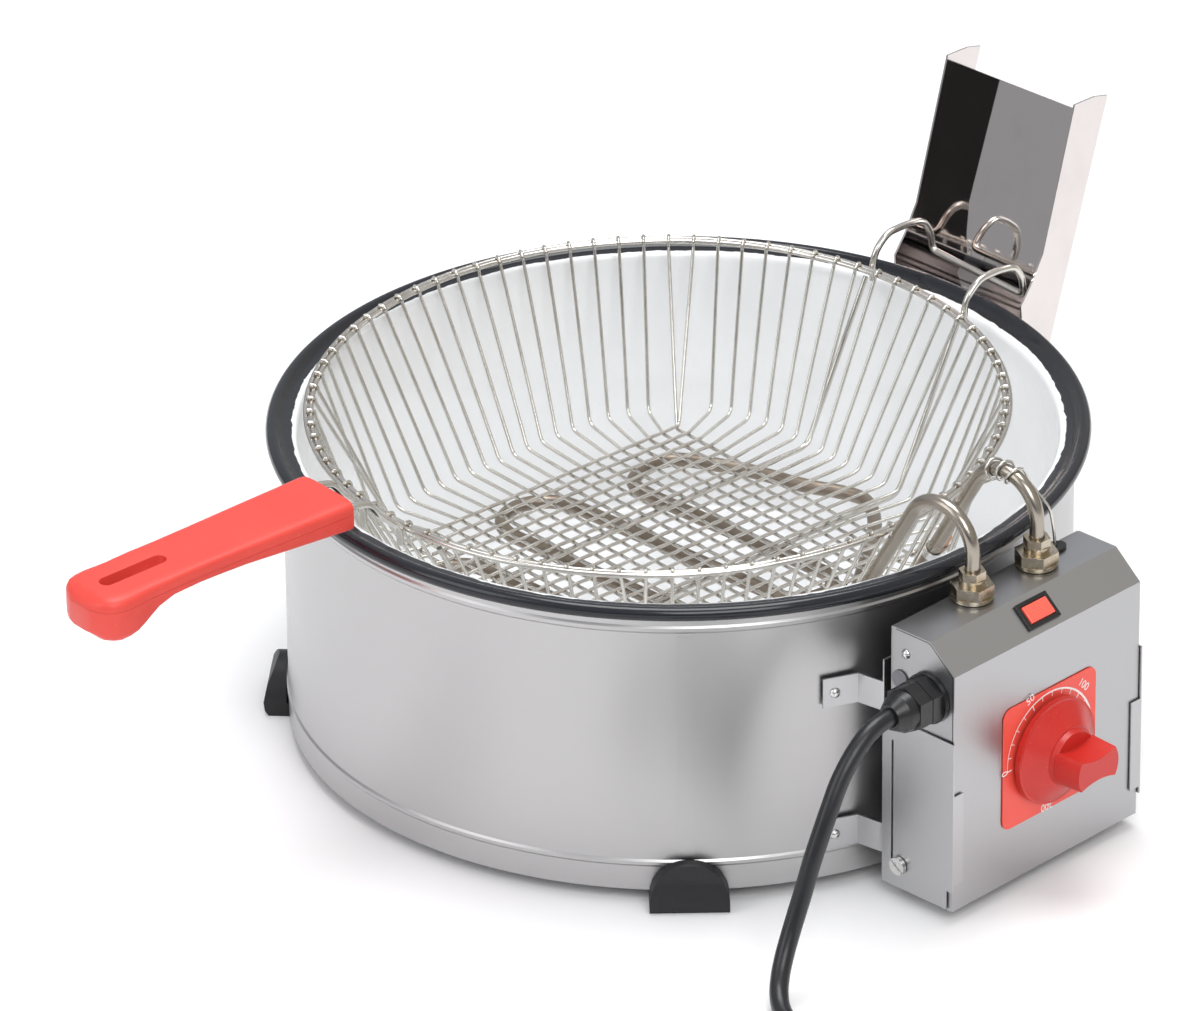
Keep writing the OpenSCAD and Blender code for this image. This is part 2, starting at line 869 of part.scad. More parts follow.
module plug_body() {
  color(dark)
    translate([-340, -253.8, 9])
      rotate([-90, 0, 0])
        union() {
          cylinder(r1 = 6.4, r2 = 8.2, h = 12, $fn = 40);
          translate([0, 0, 11.9])
            linear_extrude(height = 24)
              polygon([[-17, 0], [-11, -8.4], [11, -8.4], [17, 0], [11, 8.4],
                [-11, 8.4]]);
        }
}
module plug_pins() {
  color(nickel)
    for (x = [-9.5, 0, 9.5])
      translate([-340 + x, -217.7, x == 0 ? 12 : 9])
        rotate([-90, 0, 0])
          union() {
            cylinder(r = 2.4, h = 17, $fn = 24);
            translate([0, 0, 16.9])
              cylinder(r1 = 2.4, r2 = 1.2, h = 2, $fn = 24);
          }
}

// ---- knob -------------------------------------------------------------
module knob() {
  color(coral)
    translate([knob_x, -267.2, knob_z])
      rotate([90, 0, 0])
        difference() {
          union() {
            cylinder(r = knob_d / 2 - 0.8, h = 0.9, $fn = 96);
            translate([0, 0, 0.8])
              cylinder(r = knob_d / 2, h = 3.4, $fn = 96);
            translate([0, 0, 4.1])
              cylinder(r1 = knob_d / 2 - 1.2, r2 = 17, h = 9, $fn = 96);
            translate([0, 0, 13])
              cylinder(r1 = 16.2, r2 = 15.4, h = 3.4, $fn = 64);
            intersection() {
              translate([0, 0, 16])
                cylinder(r1 = 16.4, r2 = 15.6, h = 16.8, $fn = 64);
              translate([0, 0, 12])
                linear_extrude(height = 21)
                  polygon([for (i = [-8:8]) [i * 2, 6.2 + i * i * 0.055],
                    for (i = [8:-1:-8]) [i * 2, -6.2 - i * i * 0.055]]);
            }
          }
          translate([0, 0, -1])
            cylinder(r = 3.35, h = 18, $fn = 32);
          translate([0, 0, -1])
            difference() {
              cylinder(r = 25, h = 4.2, $fn = 64);
              cylinder(r = 6.4, h = 5, $fn = 40);
            }
        }
}
module thermostat_spindle() {
  color(nickel)
    translate([knob_x, -243.6, knob_z])
      rotate([90, 0, 0])
        cylinder(r = 3, h = 39, $fn = 32);
}

// ---- basket -------------------------------------------------------------
module ring(r, d) {
  rotate_extrude($fn = 120)
    translate([r, 0])
      circle(r = d / 2, $fn = 24);
}
module basket_rim() {
  color(steel)
    in_basket() {
      ring(rim_r, rim_wire);
      ring(inner_rim_r, rim_wire);
    }
}
// one side wire in its own side's frame; k counts from the side's middle
function bend_r(k, a) = abs(k) == half_n
  ? (mesh_half + 0.8) / cos(a)
  : 134 + 22 * sin(2 * a) * sin(2 * a);
function side_wire(k, z) =
  let (a = k * side_step, b = bend_r(k, a),
       edge = k * mesh_half / half_n,
       c = cos(a), s = sin(a),
       bx = abs(k) == half_n ? mesh_half + 2.2 : b * c,
       by = abs(k) == half_n ? edge + sign(k) * 1.2 : b * s,
       t = wall_top_r)
  concat(
    [[mesh_half + 0.1, edge, z]],
    corner([mesh_half + 0.1, edge, z], [bx, by, z + 0.4], [t * c, t * s, -1.6],
      2.2, 2),
    [[t * c, t * s, -1.6], [(t + 0.4) * c, (t + 0.4) * s, 0.9],
     [(t + 1.6) * c, (t + 1.6) * s, 2.3], [(t + 4.4) * c, (t + 4.4) * s, 2.5]]);
module basket_side_wires() {
  color(steel)
    in_basket()
      for (q = [0:3])
        rotate([0, 0, q * 90])
          for (k = [-half_n:half_n])
            bar(side_wire(k, q % 2 == 0 ? mesh_z : mesh_z - 2.06), fine_wire, 6);
}
module mesh_layer() {
  for (k = [-half_n:half_n])
    translate([-mesh_half, k * mesh_half / half_n, 0])
      rotate([0, 90, 0])
        cylinder(r = fine_wire / 2, h = 2 * mesh_half, $fn = 16);
}
module basket_mesh_upper() {
  color(steel)
    in_basket()
      translate([0, 0, mesh_z])
        mesh_layer();
}
module basket_mesh_lower() {
  color(steel)
    in_basket()
      translate([0, 0, mesh_z - 2.06])
        rotate([0, 0, 90])
          mesh_layer();
}
module strut(a, b, d) {
  v = b - a;
  translate(a)
    rotate([0, acos(v[2] / norm(v)), atan2(v[1], v[0])])
      cylinder(r = d / 2, h = norm(v), $fn = 20);
}
module basket_support_rods() {
  zb = mesh_z - 4.65;
  color(steel)
    in_basket()
      for (y = [-37, 37]) {
        strut([-137.4, y, zb], [137.4, y, zb], rod_d);
        for (s = [-1, 1])
          strut([s * 139.6, y, zb + 1.2], [s * 182.9, y, -4.2], rod_d);
      }
}
module basket_hook() {
  arm = [[188, 37, -8], [188, 37, 3], [191, 37, 10], [199, 37, 17],
    [213, 37, 17.4], [225, 37, 15.5], [230.5, 37, 7], [232, 37, -5]];
  back = [for (i = [len(arm) - 1:-1:0]) [arm[i][0], -arm[i][1], arm[i][2]]];
  color(steel)
    in_basket()
      bar(smooth_path(concat(arm, back), 4.5, 4), hook_wire, 12);
}
module handle_tangs() {
  color(steel)
    in_basket()
      for (y = [-15, 15])
        bar(smooth_path([[-262, y, 26], [-220, y, 26], [-211, y, 23.5],
          [-204, y, 14], [-197, y, 7.5], [-191, y, 2], [-191, y, -8]], 4, 3),
          hook_wire, 12);
}
module handle_plan() {
  difference() {
    union() {
      polygon([[-225, 21.4], [-229, 22], [-265, 21], [-294, 20], [-327, 19.3],
        [-358, 20], [-372, 21.6], [-381, 20.6], [-387, 16], [-390, 8],
        [-390.4, 0], [-390, -8], [-387, -16], [-381, -20.6], [-372, -21.6],
        [-358, -20], [-327, -19.3], [-294, -20], [-265, -21], [-229, -22],
        [-225, -21.4]]);
    }
    translate([-371.7, 0])
      circle(r = 4.3, $fn = 32);
    translate([-338.3, 0])
      circle(r = 4.3, $fn = 32);
    translate([-371.7, -4.3])
      square([33.4, 8.6]);
  }
}
module handle_side() {
  rotate([90, 0, 0])
    translate([0, 0, -30])
      linear_extrude(height = 60)
        polygon([[-225, 15.4], [-225, 32.4], [-226, 33], [-381, 33],
          [-387, 31.4], [-390, 27], [-390.6, 20], [-389, 12], [-385, 8.2],
          [-378, 7], [-369, 8], [-361, 12], [-353, 17.4], [-343, 20.6],
          [-320, 21.2], [-296, 20.4], [-262, 17.8], [-228, 15]]);
}
module handle_grip(z0, z1) {
  intersection() {
    translate([0, 0, z0])
      linear_extrude(height = z1 - z0)
        handle_plan();
    handle_side();
  }
}
module handle_grooves() {
  for (y = [-15, 15])
    translate([-263, y, 26])
      rotate([0, 90, 0])
        cylinder(r = hook_wire / 2 + 0.3, h = 50, $fn = 24);
}
module handle_upper_shell() {
  color(coral)
    in_basket()
      difference() {
        handle_grip(26.05, 40);
        handle_grooves();
        for (x = [-250, -310])
          translate([x, 0, 20])
            cylinder(r = 1.8, h = 9.6, $fn = 20);
      }
}
module handle_lower_shell() {
  color(coral)
    in_basket()
      difference() {
        handle_grip(0, 25.95);
        handle_grooves();
        for (x = [-250, -310])
          translate([x, 0, 0]) {
            cylinder(r = 1.8, h = 30, $fn = 20);
            cylinder(r = 3.4, h = 22.6, $fn = 32);
          }
      }
}
module handle_screws() {
  color(nickel)
    in_basket()
      for (x = [-250, -310])
        translate([x, 0, 0])
          union() {
            translate([0, 0, 21.4])
              cylinder(r = 3, h = 1, $fn = 32);
            translate([0, 0, 22.3])
              cylinder(r = 1.5, h = 6.6, $fn = 20);
          }
}

casing_shell();
casing_floor();
foot_front_left();
foot_front_right();
foot_rear_left();
foot_rear_right();
foot_screws();
cradle_bracket();
cradle_screws();
cradle_rivets();
hanger_plate();
hanger_rivets();
frying_pan();
box_cover();
box_chassis();
box_rivets();
hole_plug();
dial_plate();
pilot_bezel();
pilot_lens();
pilot_terminals();
thermostat_body();
thermostat_screws();
capillary_tube();
capillary_grommet();
thermostat_bulb();
bulb_clips();
heating_element();
element_fittings();
element_washers();
element_locknuts();
element_terminals();
terminal_block();
terminal_screws();
gland_locknut();
gland_body();
gland_cap();
core_wires();
power_cord();
cord_coil();
cord_tail();
plug_body();
plug_pins();
knob();
thermostat_spindle();
basket_rim();
basket_side_wires();
basket_mesh_upper();
basket_mesh_lower();
basket_support_rods();
basket_hook();
handle_tangs();
handle_upper_shell();
handle_lower_shell();
handle_screws();
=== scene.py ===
"""A countertop deep fryer: round steel casing, enamelled pan, lift-out heating head,
wire basket with a red handle, and the plate that the basket hangs from."""

import json
import math

import bmesh
import bpy
from mathutils import Matrix, Vector


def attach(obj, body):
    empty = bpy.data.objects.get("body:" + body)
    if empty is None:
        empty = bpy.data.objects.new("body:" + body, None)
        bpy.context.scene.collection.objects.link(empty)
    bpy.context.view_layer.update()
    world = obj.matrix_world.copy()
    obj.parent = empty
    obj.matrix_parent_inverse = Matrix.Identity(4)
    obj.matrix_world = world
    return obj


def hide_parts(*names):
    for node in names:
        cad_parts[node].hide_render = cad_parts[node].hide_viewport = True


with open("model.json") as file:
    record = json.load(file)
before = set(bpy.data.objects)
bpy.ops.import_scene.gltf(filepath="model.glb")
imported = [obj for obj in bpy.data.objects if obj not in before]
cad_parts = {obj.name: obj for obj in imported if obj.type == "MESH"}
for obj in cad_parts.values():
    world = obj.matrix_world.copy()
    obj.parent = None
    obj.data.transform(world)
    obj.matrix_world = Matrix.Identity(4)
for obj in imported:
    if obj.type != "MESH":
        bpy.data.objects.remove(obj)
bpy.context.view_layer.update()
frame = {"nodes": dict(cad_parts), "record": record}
MM = 0.001

# ---- sizes, in millimetres and degrees, in the fryer's own frame ---------------------

PAN_R = 203.0
PAN_WALL = 1.2
PAN_BOTTOM = 18.0
PAN_CORNER_R = 24.0
RIM_BEAD_R = 3.8
RIM_BEAD_AT = (216.2, 174.2)
LEG_X = 3.0
LEG_HALF = 25.0
LEG_SLOPE = 1.709
LEG_MID_Y = -150
LEG_MID_Z = 129.6
NUT_Y = -230.9
TUBE_D = 8.0
LOOP_Z = 75.5
BOX_X = -0.4
BOX_W = 144.2
GAP_INSET = 0.08
KNOB_X = 0.7
KNOB_Z = 76.5
DIAL_FACE_Y = -265.6
SCALE_ARC_Y = -265.56
SCALE_START = 183.0
SCALE_SWEEP = 275.0
CORD_D = 10.0
CORD_LOW = 5.2
CORD_HIGH = 15.4
COIL_OUTER_R = 65.0
COIL_TOP_R = 60.0
TURN_PITCH = 10.2
RIM_R = 188.0
RIM_WIRE = 2.8
FINE_WIRE = 2.0
SIDE_WIRES = 21
MESH_HALF = 96.0
MESH_Z = -90.03
MESH_PITCH = 9.6
WEAVE = 1.03
WELD_RING_R = 186.4
WALL_TOP_R = RIM_R - RIM_WIRE - 0.1 - RIM_WIRE / 2 - FINE_WIRE / 2 - 0.05

# the basket's own frame: its middle at rim height, tilted and turned a little in the pan
BASKET = (
    Matrix.Translation(Vector((1.7, 16.8, 179.5)) * MM)
    @ Matrix.Rotation(math.radians(-1.49), 4, "Y")
    @ Matrix.Rotation(math.radians(0.59), 4, "X")
    @ Matrix.Rotation(math.radians(-5.3), 4, "Z")
)


# ---- camera --------------------------------------------------------------------------


def make_camera():
    """A long lens that looks down on the fryer from between the handle and the head."""
    data = bpy.data.cameras.new("fryer_camera")
    camera = bpy.data.objects.new("fryer_camera", data)
    bpy.context.scene.collection.objects.link(camera)
    back = Vector((-0.63389, -0.61850, 0.46438)).normalized()
    right = (-back).cross(Vector((0, 0, 1))).normalized()
    up = right.cross(-back)
    roll = math.radians(-0.533)
    turned_right = right * math.cos(roll) + up * math.sin(roll)
    turned_up = up * math.cos(roll) - right * math.sin(roll)
    turn = Matrix((turned_right, turned_up, back)).transposed()
    camera.matrix_world = Matrix.Translation(Vector((-3.3429, -3.2029, 2.5516))) @ turn.to_4x4()
    data.sensor_fit = "HORIZONTAL"
    data.sensor_width = 36.0
    data.lens = 293.06
    data.clip_start = 0.1
    data.clip_end = 60.0
    bpy.context.scene.camera = camera


make_camera()


# ---- node trees ----------------------------------------------------------------------


class Value:
    """One output socket. Operators on it add Math nodes to the same tree."""

    def __init__(self, tree, socket):
        self.tree = tree
        self.socket = socket

    def _math(self, operation, *others):
        return self.tree.node("ShaderNodeMath", {"operation": operation}, [self, *others])

    def _turned(self, operation, other):
        return self.tree.node("ShaderNodeMath", {"operation": operation}, [other, self])

    def __add__(self, other):
        return self._math("ADD", other)

    def __radd__(self, other):
        return self._turned("ADD", other)

    def __sub__(self, other):
        return self._math("SUBTRACT", other)

    def __rsub__(self, other):
        return self._turned("SUBTRACT", other)

    def __mul__(self, other):
        return self._math("MULTIPLY", other)

    def __truediv__(self, other):
        return self._math("DIVIDE", other)

    def __neg__(self):
        return self._math("MULTIPLY", -1.0)

    def sin(self):
        return self._math("SINE")

    def cos(self):
        return self._math("COSINE")

    def abs(self):
        return self._math("ABSOLUTE")

    def floor(self):
        return self._math("FLOOR")

    def sign(self):
        return self._math("SIGN")

    def power(self, exponent):
        return self._math("POWER", exponent)

    def max(self, other):
        return self._math("MAXIMUM", other)

    def equals(self, other):
        return self._math("COMPARE", other, 0.1)

    def step(self, low, high, start=0.0, end=1.0):
        """A smooth step from start to end as this value goes from low to high."""
        settings = {"interpolation_type": "SMOOTHSTEP"}
        return self.tree.node("ShaderNodeMapRange", settings, [self, low, high, start, end])

    def out(self, name):
        """Another output of the same node."""
        return Value(self.tree, self.socket.node.outputs[name])


class Tree:
    """A node tree, with short ways to add and join its nodes."""

    def __init__(self, tree):
        self.tree = tree

    def node(self, kind, settings=None, values=None, out=0):
        made = self.tree.nodes.new(kind)
        for name, setting in (settings or {}).items():
            setattr(made, name, setting)
        pairs = values.items() if isinstance(values, dict) else enumerate(values or [])
        for key, value in pairs:
            if isinstance(value, Value):
                self.tree.links.new(value.socket, made.inputs[key])
            else:
                made.inputs[key].default_value = value
        return Value(self, made.outputs[out]) if made.outputs else None

    def vector(self, operation, *values):
        return self.node("ShaderNodeVectorMath", {"operation": operation}, list(values))

    def join(self, x, y, z):
        return self.node("ShaderNodeCombineXYZ", None, [x, y, z])

    def split(self, vector):
        parts = self.node("ShaderNodeSeparateXYZ", None, [vector])
        return parts, parts.out("Y"), parts.out("Z")

    def noise(self, where, scale, detail, rough):
        values = {"Vector": where, "Scale": scale, "Detail": detail, "Roughness": rough}
        return self.node("ShaderNodeTexNoise", None, values, "Fac")

    def mix(self, factor, first, second):
        values = {0: factor, 6: first, 7: second}
        return self.node("ShaderNodeMix", {"data_type": "RGBA"}, values, 2)

    def bump(self, height, strength, distance):
        values = {"Strength": strength, "Distance": distance, "Height": height}
        return self.node("ShaderNodeBump", None, values)


# ---- materials -----------------------------------------------------------------------


def rgb(red, green, blue):
    return (red, green, blue, 1.0)


def new_material(name):
    """An empty material, its tree and its Object coordinates."""
    material = bpy.data.materials.new(name)
    material.use_nodes = True
    material.node_tree.nodes.clear()
    tree = Tree(material.node_tree)
    place = tree.node("ShaderNodeTexCoord", None, None, "Object")
    return material, tree, place


def finish_material(material, tree, colour, roughness, normal, others):
    """A Principled surface; others holds what its further inputs take."""
    values = {"Base Color": colour, "Roughness": roughness}
    if normal is not None:
        values["Normal"] = normal
    values.update(others)
    shader = tree.node("ShaderNodeBsdfPrincipled", None, values)
    tree.node("ShaderNodeOutputMaterial", None, [shader])
    return material


def stretched(tree, place, across, along_z, along_y=None):
    """Coordinates drawn out so that noise on them looks like rolling or brushing marks."""
    scale = (across, across if along_y is None else along_y, along_z)
    return tree.vector("MULTIPLY", place, scale)


def brushed_steel(name, tone, scale, roughness, spread, bump, warm=0.0):
    """Sheet steel with fine lines, faint cloudy stains and a few handling marks."""
    material, tree, place = new_material(name)
    lines = tree.noise(stretched(tree, place, *scale), 1.0, 4.0, 0.62)
    broad = tree.noise(stretched(tree, place, *[s * 0.16 for s in scale]), 1.0, 2.0, 0.5)
    cloud = tree.noise(place, 14.0, 3.0, 0.55)
    smudge = tree.noise(place, 42.0, 4.0, 0.6).step(0.56, 0.74)
    shade = (lines - 0.5) * 0.10 + (broad - 0.5) * 0.05 + (cloud - 0.5) * 0.05
    low = rgb(tone * 0.86 + warm, tone * 0.86, tone * 0.87 - warm)
    high = rgb(min(1, tone * 1.10 + warm), min(1, tone * 1.10), min(1, tone * 1.12 - warm))
    colour = tree.mix(shade + 0.5, low, high)
    rough = roughness + (lines - 0.5) * spread + (cloud - 0.5) * 0.05 + smudge * 0.03
    normal = tree.bump(lines, bump, 0.0004)
    return finish_material(material, tree, colour, rough, normal, {"Metallic": 1.0})


def mirror_steel():
    """Polished sheet: nearly a mirror, with hairlines and the haze of finger marks."""
    material, tree, place = new_material("polished_sheet")
    hair = tree.noise(stretched(tree, place, 900.0, 12.0, 1400.0), 1.0, 2.0, 0.5)
    haze = tree.noise(place, 22.0, 4.0, 0.6).step(0.48, 0.72)
    colour = tree.mix(haze * 0.5 + hair * 0.2, rgb(0.70, 0.652, 0.634), rgb(0.62, 0.577, 0.564))
    rough = 0.035 + haze * 0.05 + hair * 0.02
    wave = tree.noise(place, 9.0, 1.0, 0.4)
    normal = tree.bump(wave + hair * 0.02, 0.02, 0.001)
    return finish_material(material, tree, colour, rough, normal, {"Metallic": 1.0})


def wire_steel():
    """Bright plated wire with duller patches."""
    material, tree, place = new_material("plated_wire")
    drawn = tree.noise(place, 900.0, 3.0, 0.6)
    patch = tree.noise(place, 60.0, 3.0, 0.55)
    colour = tree.mix(patch, rgb(0.50, 0.475, 0.43), rgb(0.78, 0.76, 0.72))
    rough = 0.20 + (patch - 0.5) * 0.16 + (drawn - 0.5) * 0.10
    normal = tree.bump(drawn, 0.18, 0.0002)
    return finish_material(material, tree, colour, rough, normal, {"Metallic": 1.0})


def weld_bead():
    """The bright rough knots where the side wires are welded to the rim."""
    material, tree, place = new_material("weld_bead")
    grain = tree.noise(place, 1500.0, 3.0, 0.6)
    patch = tree.noise(place, 240.0, 2.0, 0.5)
    colour = tree.mix(patch, rgb(0.50, 0.44, 0.35), rgb(0.86, 0.84, 0.79))
    normal = tree.bump(grain, 0.5, 0.0003)
    return finish_material(material, tree, colour, 0.22 + grain * 0.2, normal, {"Metallic": 1.0})


def element_tube():
    """The heater's sheath: bright nickel outside the oil, heat brown along the loops."""
    material, tree, place = new_material("element_sheath")
    height = tree.split(place)[2]
    cloud = tree.noise(place, 30.0, 4.0, 0.6)
    fine = tree.noise(place, 700.0, 3.0, 0.55)
    heat = (height + (cloud - 0.5) * 0.05).step(0.168, 0.112)
    bright = tree.mix(cloud, rgb(0.30, 0.265, 0.22), rgb(0.44, 0.40, 0.345))
    brown = tree.mix(cloud, rgb(0.185, 0.150, 0.118), rgb(0.335, 0.285, 0.232))
    colour = tree.mix(heat, bright, brown)
    rough = 0.23 + heat * 0.14 + (cloud - 0.5) * 0.14 + (fine - 0.5) * 0.08
    normal = tree.bump(fine, 0.12, 0.0003)
    return finish_material(material, tree, colour, rough, normal, {"Metallic": 1.0})


def plated_brass():
    """Nickel plate over brass, yellow in patches where the plate is thin."""
    material, tree, place = new_material("nickel_over_brass")
    cloud = tree.noise(place, 120.0, 4.0, 0.6)
    fine = tree.noise(place, 1300.0, 2.0, 0.5)
    colour = tree.mix(cloud.step(0.35, 0.68), rgb(0.43, 0.355, 0.245), rgb(0.54, 0.49, 0.41))
    rough = 0.24 + (cloud - 0.5) * 0.18 + (fine - 0.5) * 0.10
    normal = tree.bump(fine, 0.2, 0.0002)
    return finish_material(material, tree, colour, rough, normal, {"Metallic": 1.0})


def zinc_plate():
    """Small bright zinc plated fasteners."""
    material, tree, place = new_material("zinc_plate")
    cloud = tree.noise(place, 260.0, 3.0, 0.6)
    fine = tree.noise(place, 1600.0, 2.0, 0.5)
    colour = tree.mix(cloud, rgb(0.55, 0.54, 0.52), rgb(0.78, 0.78, 0.77))
    rough = 0.26 + (cloud - 0.5) * 0.2 + (fine - 0.5) * 0.1
    return finish_material(
        material, tree, colour, rough, tree.bump(fine, 0.2, 0.0002), {"Metallic": 1.0}
    )


def pan_enamel():
    """Glass enamel: white, charcoal over the rolled rim and a band below it outside."""
    material, tree, place = new_material("pan_enamel")
    x, y, z = tree.split(place)
    radius = (x * x + y * y).power(0.5)
    ragged = tree.noise(place, 26.0, 3.0, 0.6)
    wander = tree.noise(place, 170.0, 3.0, 0.6)
    edge = 0.2062 + (ragged - 0.5) * 0.0046 + (wander - 0.5) * 0.0020
    outside = radius.step(0.20365, 0.20385) * z.step(0.1722, 0.1712)
    rim = (radius - edge).step(-0.0003, 0.0004).max(outside)
    fleck = tree.noise(place, 900.0, 2.0, 0.5).step(0.70, 0.76)
    cloud = tree.noise(place, 6.0, 3.0, 0.5)
    white = tree.mix(cloud, rgb(0.93, 0.945, 0.96), rgb(0.96, 0.968, 0.975))
    white = tree.mix(fleck * 0.35, white, rgb(0.42, 0.47, 0.52))
    dark = tree.mix(cloud, rgb(0.008, 0.009, 0.012), rgb(0.018, 0.019, 0.024))
    dark = tree.mix(fleck * 0.25, dark, rgb(0.10, 0.10, 0.11))
    colour = tree.mix(rim, white, dark)
    orange_peel = tree.noise(place, 120.0, 2.0, 0.45)
    rough = 0.13 + orange_peel * 0.06 + fleck * 0.2
    normal = tree.bump(orange_peel + wander * 0.2, 0.10, 0.0016)
    others = {"Coat Weight": 0.45 - rim * 0.32, "Coat Roughness": 0.06, "Specular IOR Level": 0.35}
    return finish_material(material, tree, colour, rough, normal, others)


def coral_plastic(name, deep, light, roughness, grain):
    """Moulded red plastic with a faint spark texture and slight flow marks."""
    material, tree, place = new_material(name)
    cloud = tree.noise(place, 26.0, 3.0, 0.55)
    spark = tree.noise(place, grain, 3.0, 0.6)
    dust = tree.noise(place, 520.0, 2.0, 0.5).step(0.68, 0.78)
    colour = tree.mix(cloud, deep, light)
    colour = tree.mix(dust * 0.10, colour, rgb(0.95, 0.60, 0.52))
    rough = roughness + (cloud - 0.5) * 0.10 + (spark - 0.5) * 0.12
    normal = tree.bump(spark, 0.16, 0.00035)
    return finish_material(material, tree, colour, rough, normal, {"Specular IOR Level": 0.45})


def black_rubber():
    """Moulded rubber, matt, greyer in dusty patches."""
    material, tree, place = new_material("foot_rubber")
    cloud = tree.noise(place, 70.0, 4.0, 0.6)
    grain = tree.noise(place, 1400.0, 3.0, 0.6)
    dust = tree.noise(place, 300.0, 4.0, 0.7).step(0.6, 0.8)
    colour = tree.mix(cloud, rgb(0.003, 0.003, 0.004), rgb(0.008, 0.008, 0.010))
    colour = tree.mix(dust * 0.2, colour, rgb(0.09, 0.09, 0.09))
    rough = 0.5 + (cloud - 0.5) * 0.2 + (grain - 0.5) * 0.12
    return finish_material(material, tree, colour, rough, tree.bump(grain, 0.25, 0.0003), {})


def black_nylon(name="gland_nylon", tone=0.009):
    """Injection moulded nylon of a given tone: satin, with a fine spark finish."""
    material, tree, place = new_material(name)
    cloud = tree.noise(place, 90.0, 3.0, 0.55)
    grain = tree.noise(place, 1800.0, 2.0, 0.5)
    low = rgb(tone * 0.7, tone * 0.7, tone * 0.75)
    colour = tree.mix(cloud, low, rgb(tone * 1.5, tone * 1.5, tone * 1.6))
    rough = 0.30 + (cloud - 0.5) * 0.16 + (grain - 0.5) * 0.12
    return finish_material(material, tree, colour, rough, tree.bump(grain, 0.2, 0.0002), {})


def cord_sheath():
    """Soft black sheath with a fine grain and a chalky bloom."""
    material, tree, place = new_material("cord_sheath")
    bloom = tree.noise(place, 55.0, 4.0, 0.6)
    grain = tree.noise(place, 1200.0, 3.0, 0.6)
    colour = tree.mix(bloom, rgb(0.006, 0.006, 0.008), rgb(0.015, 0.016, 0.019))
    rough = 0.33 + (bloom - 0.5) * 0.16 + (grain - 0.5) * 0.12
    return finish_material(material, tree, colour, rough, tree.bump(grain, 0.2, 0.0003), {})


def pilot_red():
    """The lamp's lens: red, ribbed, with a faint glow of its own."""
    material, tree, place = new_material("pilot_lens")
    ribs = (tree.split(place)[0] * 4200.0).sin() * 0.5 + 0.5
    glow = tree.noise(place, 130.0, 2.0, 0.5)
    colour = tree.mix(ribs, rgb(0.72, 0.050, 0.030), rgb(0.93, 0.135, 0.085))
    light = tree.mix(glow, rgb(0.55, 0.06, 0.04), rgb(1.0, 0.24, 0.17))
    rough = 0.16 + ribs * 0.08
    normal = tree.bump(ribs, 0.25, 0.0004)
    others = {"Emission Color": light, "Emission Strength": 0.16, "Coat Weight": 0.5}
    return finish_material(material, tree, colour, rough, normal, others)


def steatite():
    """Glazed off-white ceramic with specks."""
    material, tree, place = new_material("steatite")
    cloud = tree.noise(place, 60.0, 4.0, 0.6)
    fleck = tree.noise(place, 900.0, 2.0, 0.5).step(0.64, 0.72)
    colour = tree.mix(cloud, rgb(0.66, 0.62, 0.53), rgb(0.80, 0.77, 0.69))
    colour = tree.mix(fleck * 0.4, colour, rgb(0.4, 0.36, 0.3))
    return finish_material(
        material, tree, colour, 0.38 + cloud * 0.2, tree.bump(cloud, 0.15, 0.0005), {}
    )


def drawn_copper():
    """The thermostat's bulb: drawn copper, tarnished in patches."""
    material, tree, place = new_material("drawn_copper")
    cloud = tree.noise(place, 90.0, 4.0, 0.6)
    fine = tree.noise(place, 900.0, 2.0, 0.5)
    colour = tree.mix(cloud, rgb(0.45, 0.24, 0.14), rgb(0.74, 0.46, 0.31))
    rough = 0.25 + cloud * 0.2
    return finish_material(
        material, tree, colour, rough, tree.bump(fine, 0.2, 0.0002), {"Metallic": 1.0}
    )


def scale_white():
    """White print on the dial plate, slightly worn."""
    material, tree, place = new_material("scale_print")
    worn = tree.noise(place, 900.0, 3.0, 0.6)
    colour = tree.mix(worn.step(0.55, 0.8), rgb(0.90, 0.88, 0.86), rgb(0.93, 0.62, 0.57))
    return finish_material(
        material, tree, colour, 0.35 + worn * 0.2, tree.bump(worn, 0.1, 0.0001), {}
    )


def core_insulation():
    """The cores inside the head: green or blue by where they lie, a little browned."""
    material, tree, place = new_material("core_insulation")
    x, y, _ = tree.split(place)
    spot = tree.noise(place, 500.0, 2.0, 0.5)
    blue = (y + x * 0.3).step(-0.2660, -0.2655)
    colour = tree.mix(blue, rgb(0.10, 0.22, 0.08), rgb(0.05, 0.11, 0.45))
    colour = tree.mix(spot * 0.3, colour, rgb(0.3, 0.2, 0.1))
    return finish_material(
        material, tree, colour, 0.4 + spot * 0.2, tree.bump(spot, 0.1, 0.0002), {}
    )


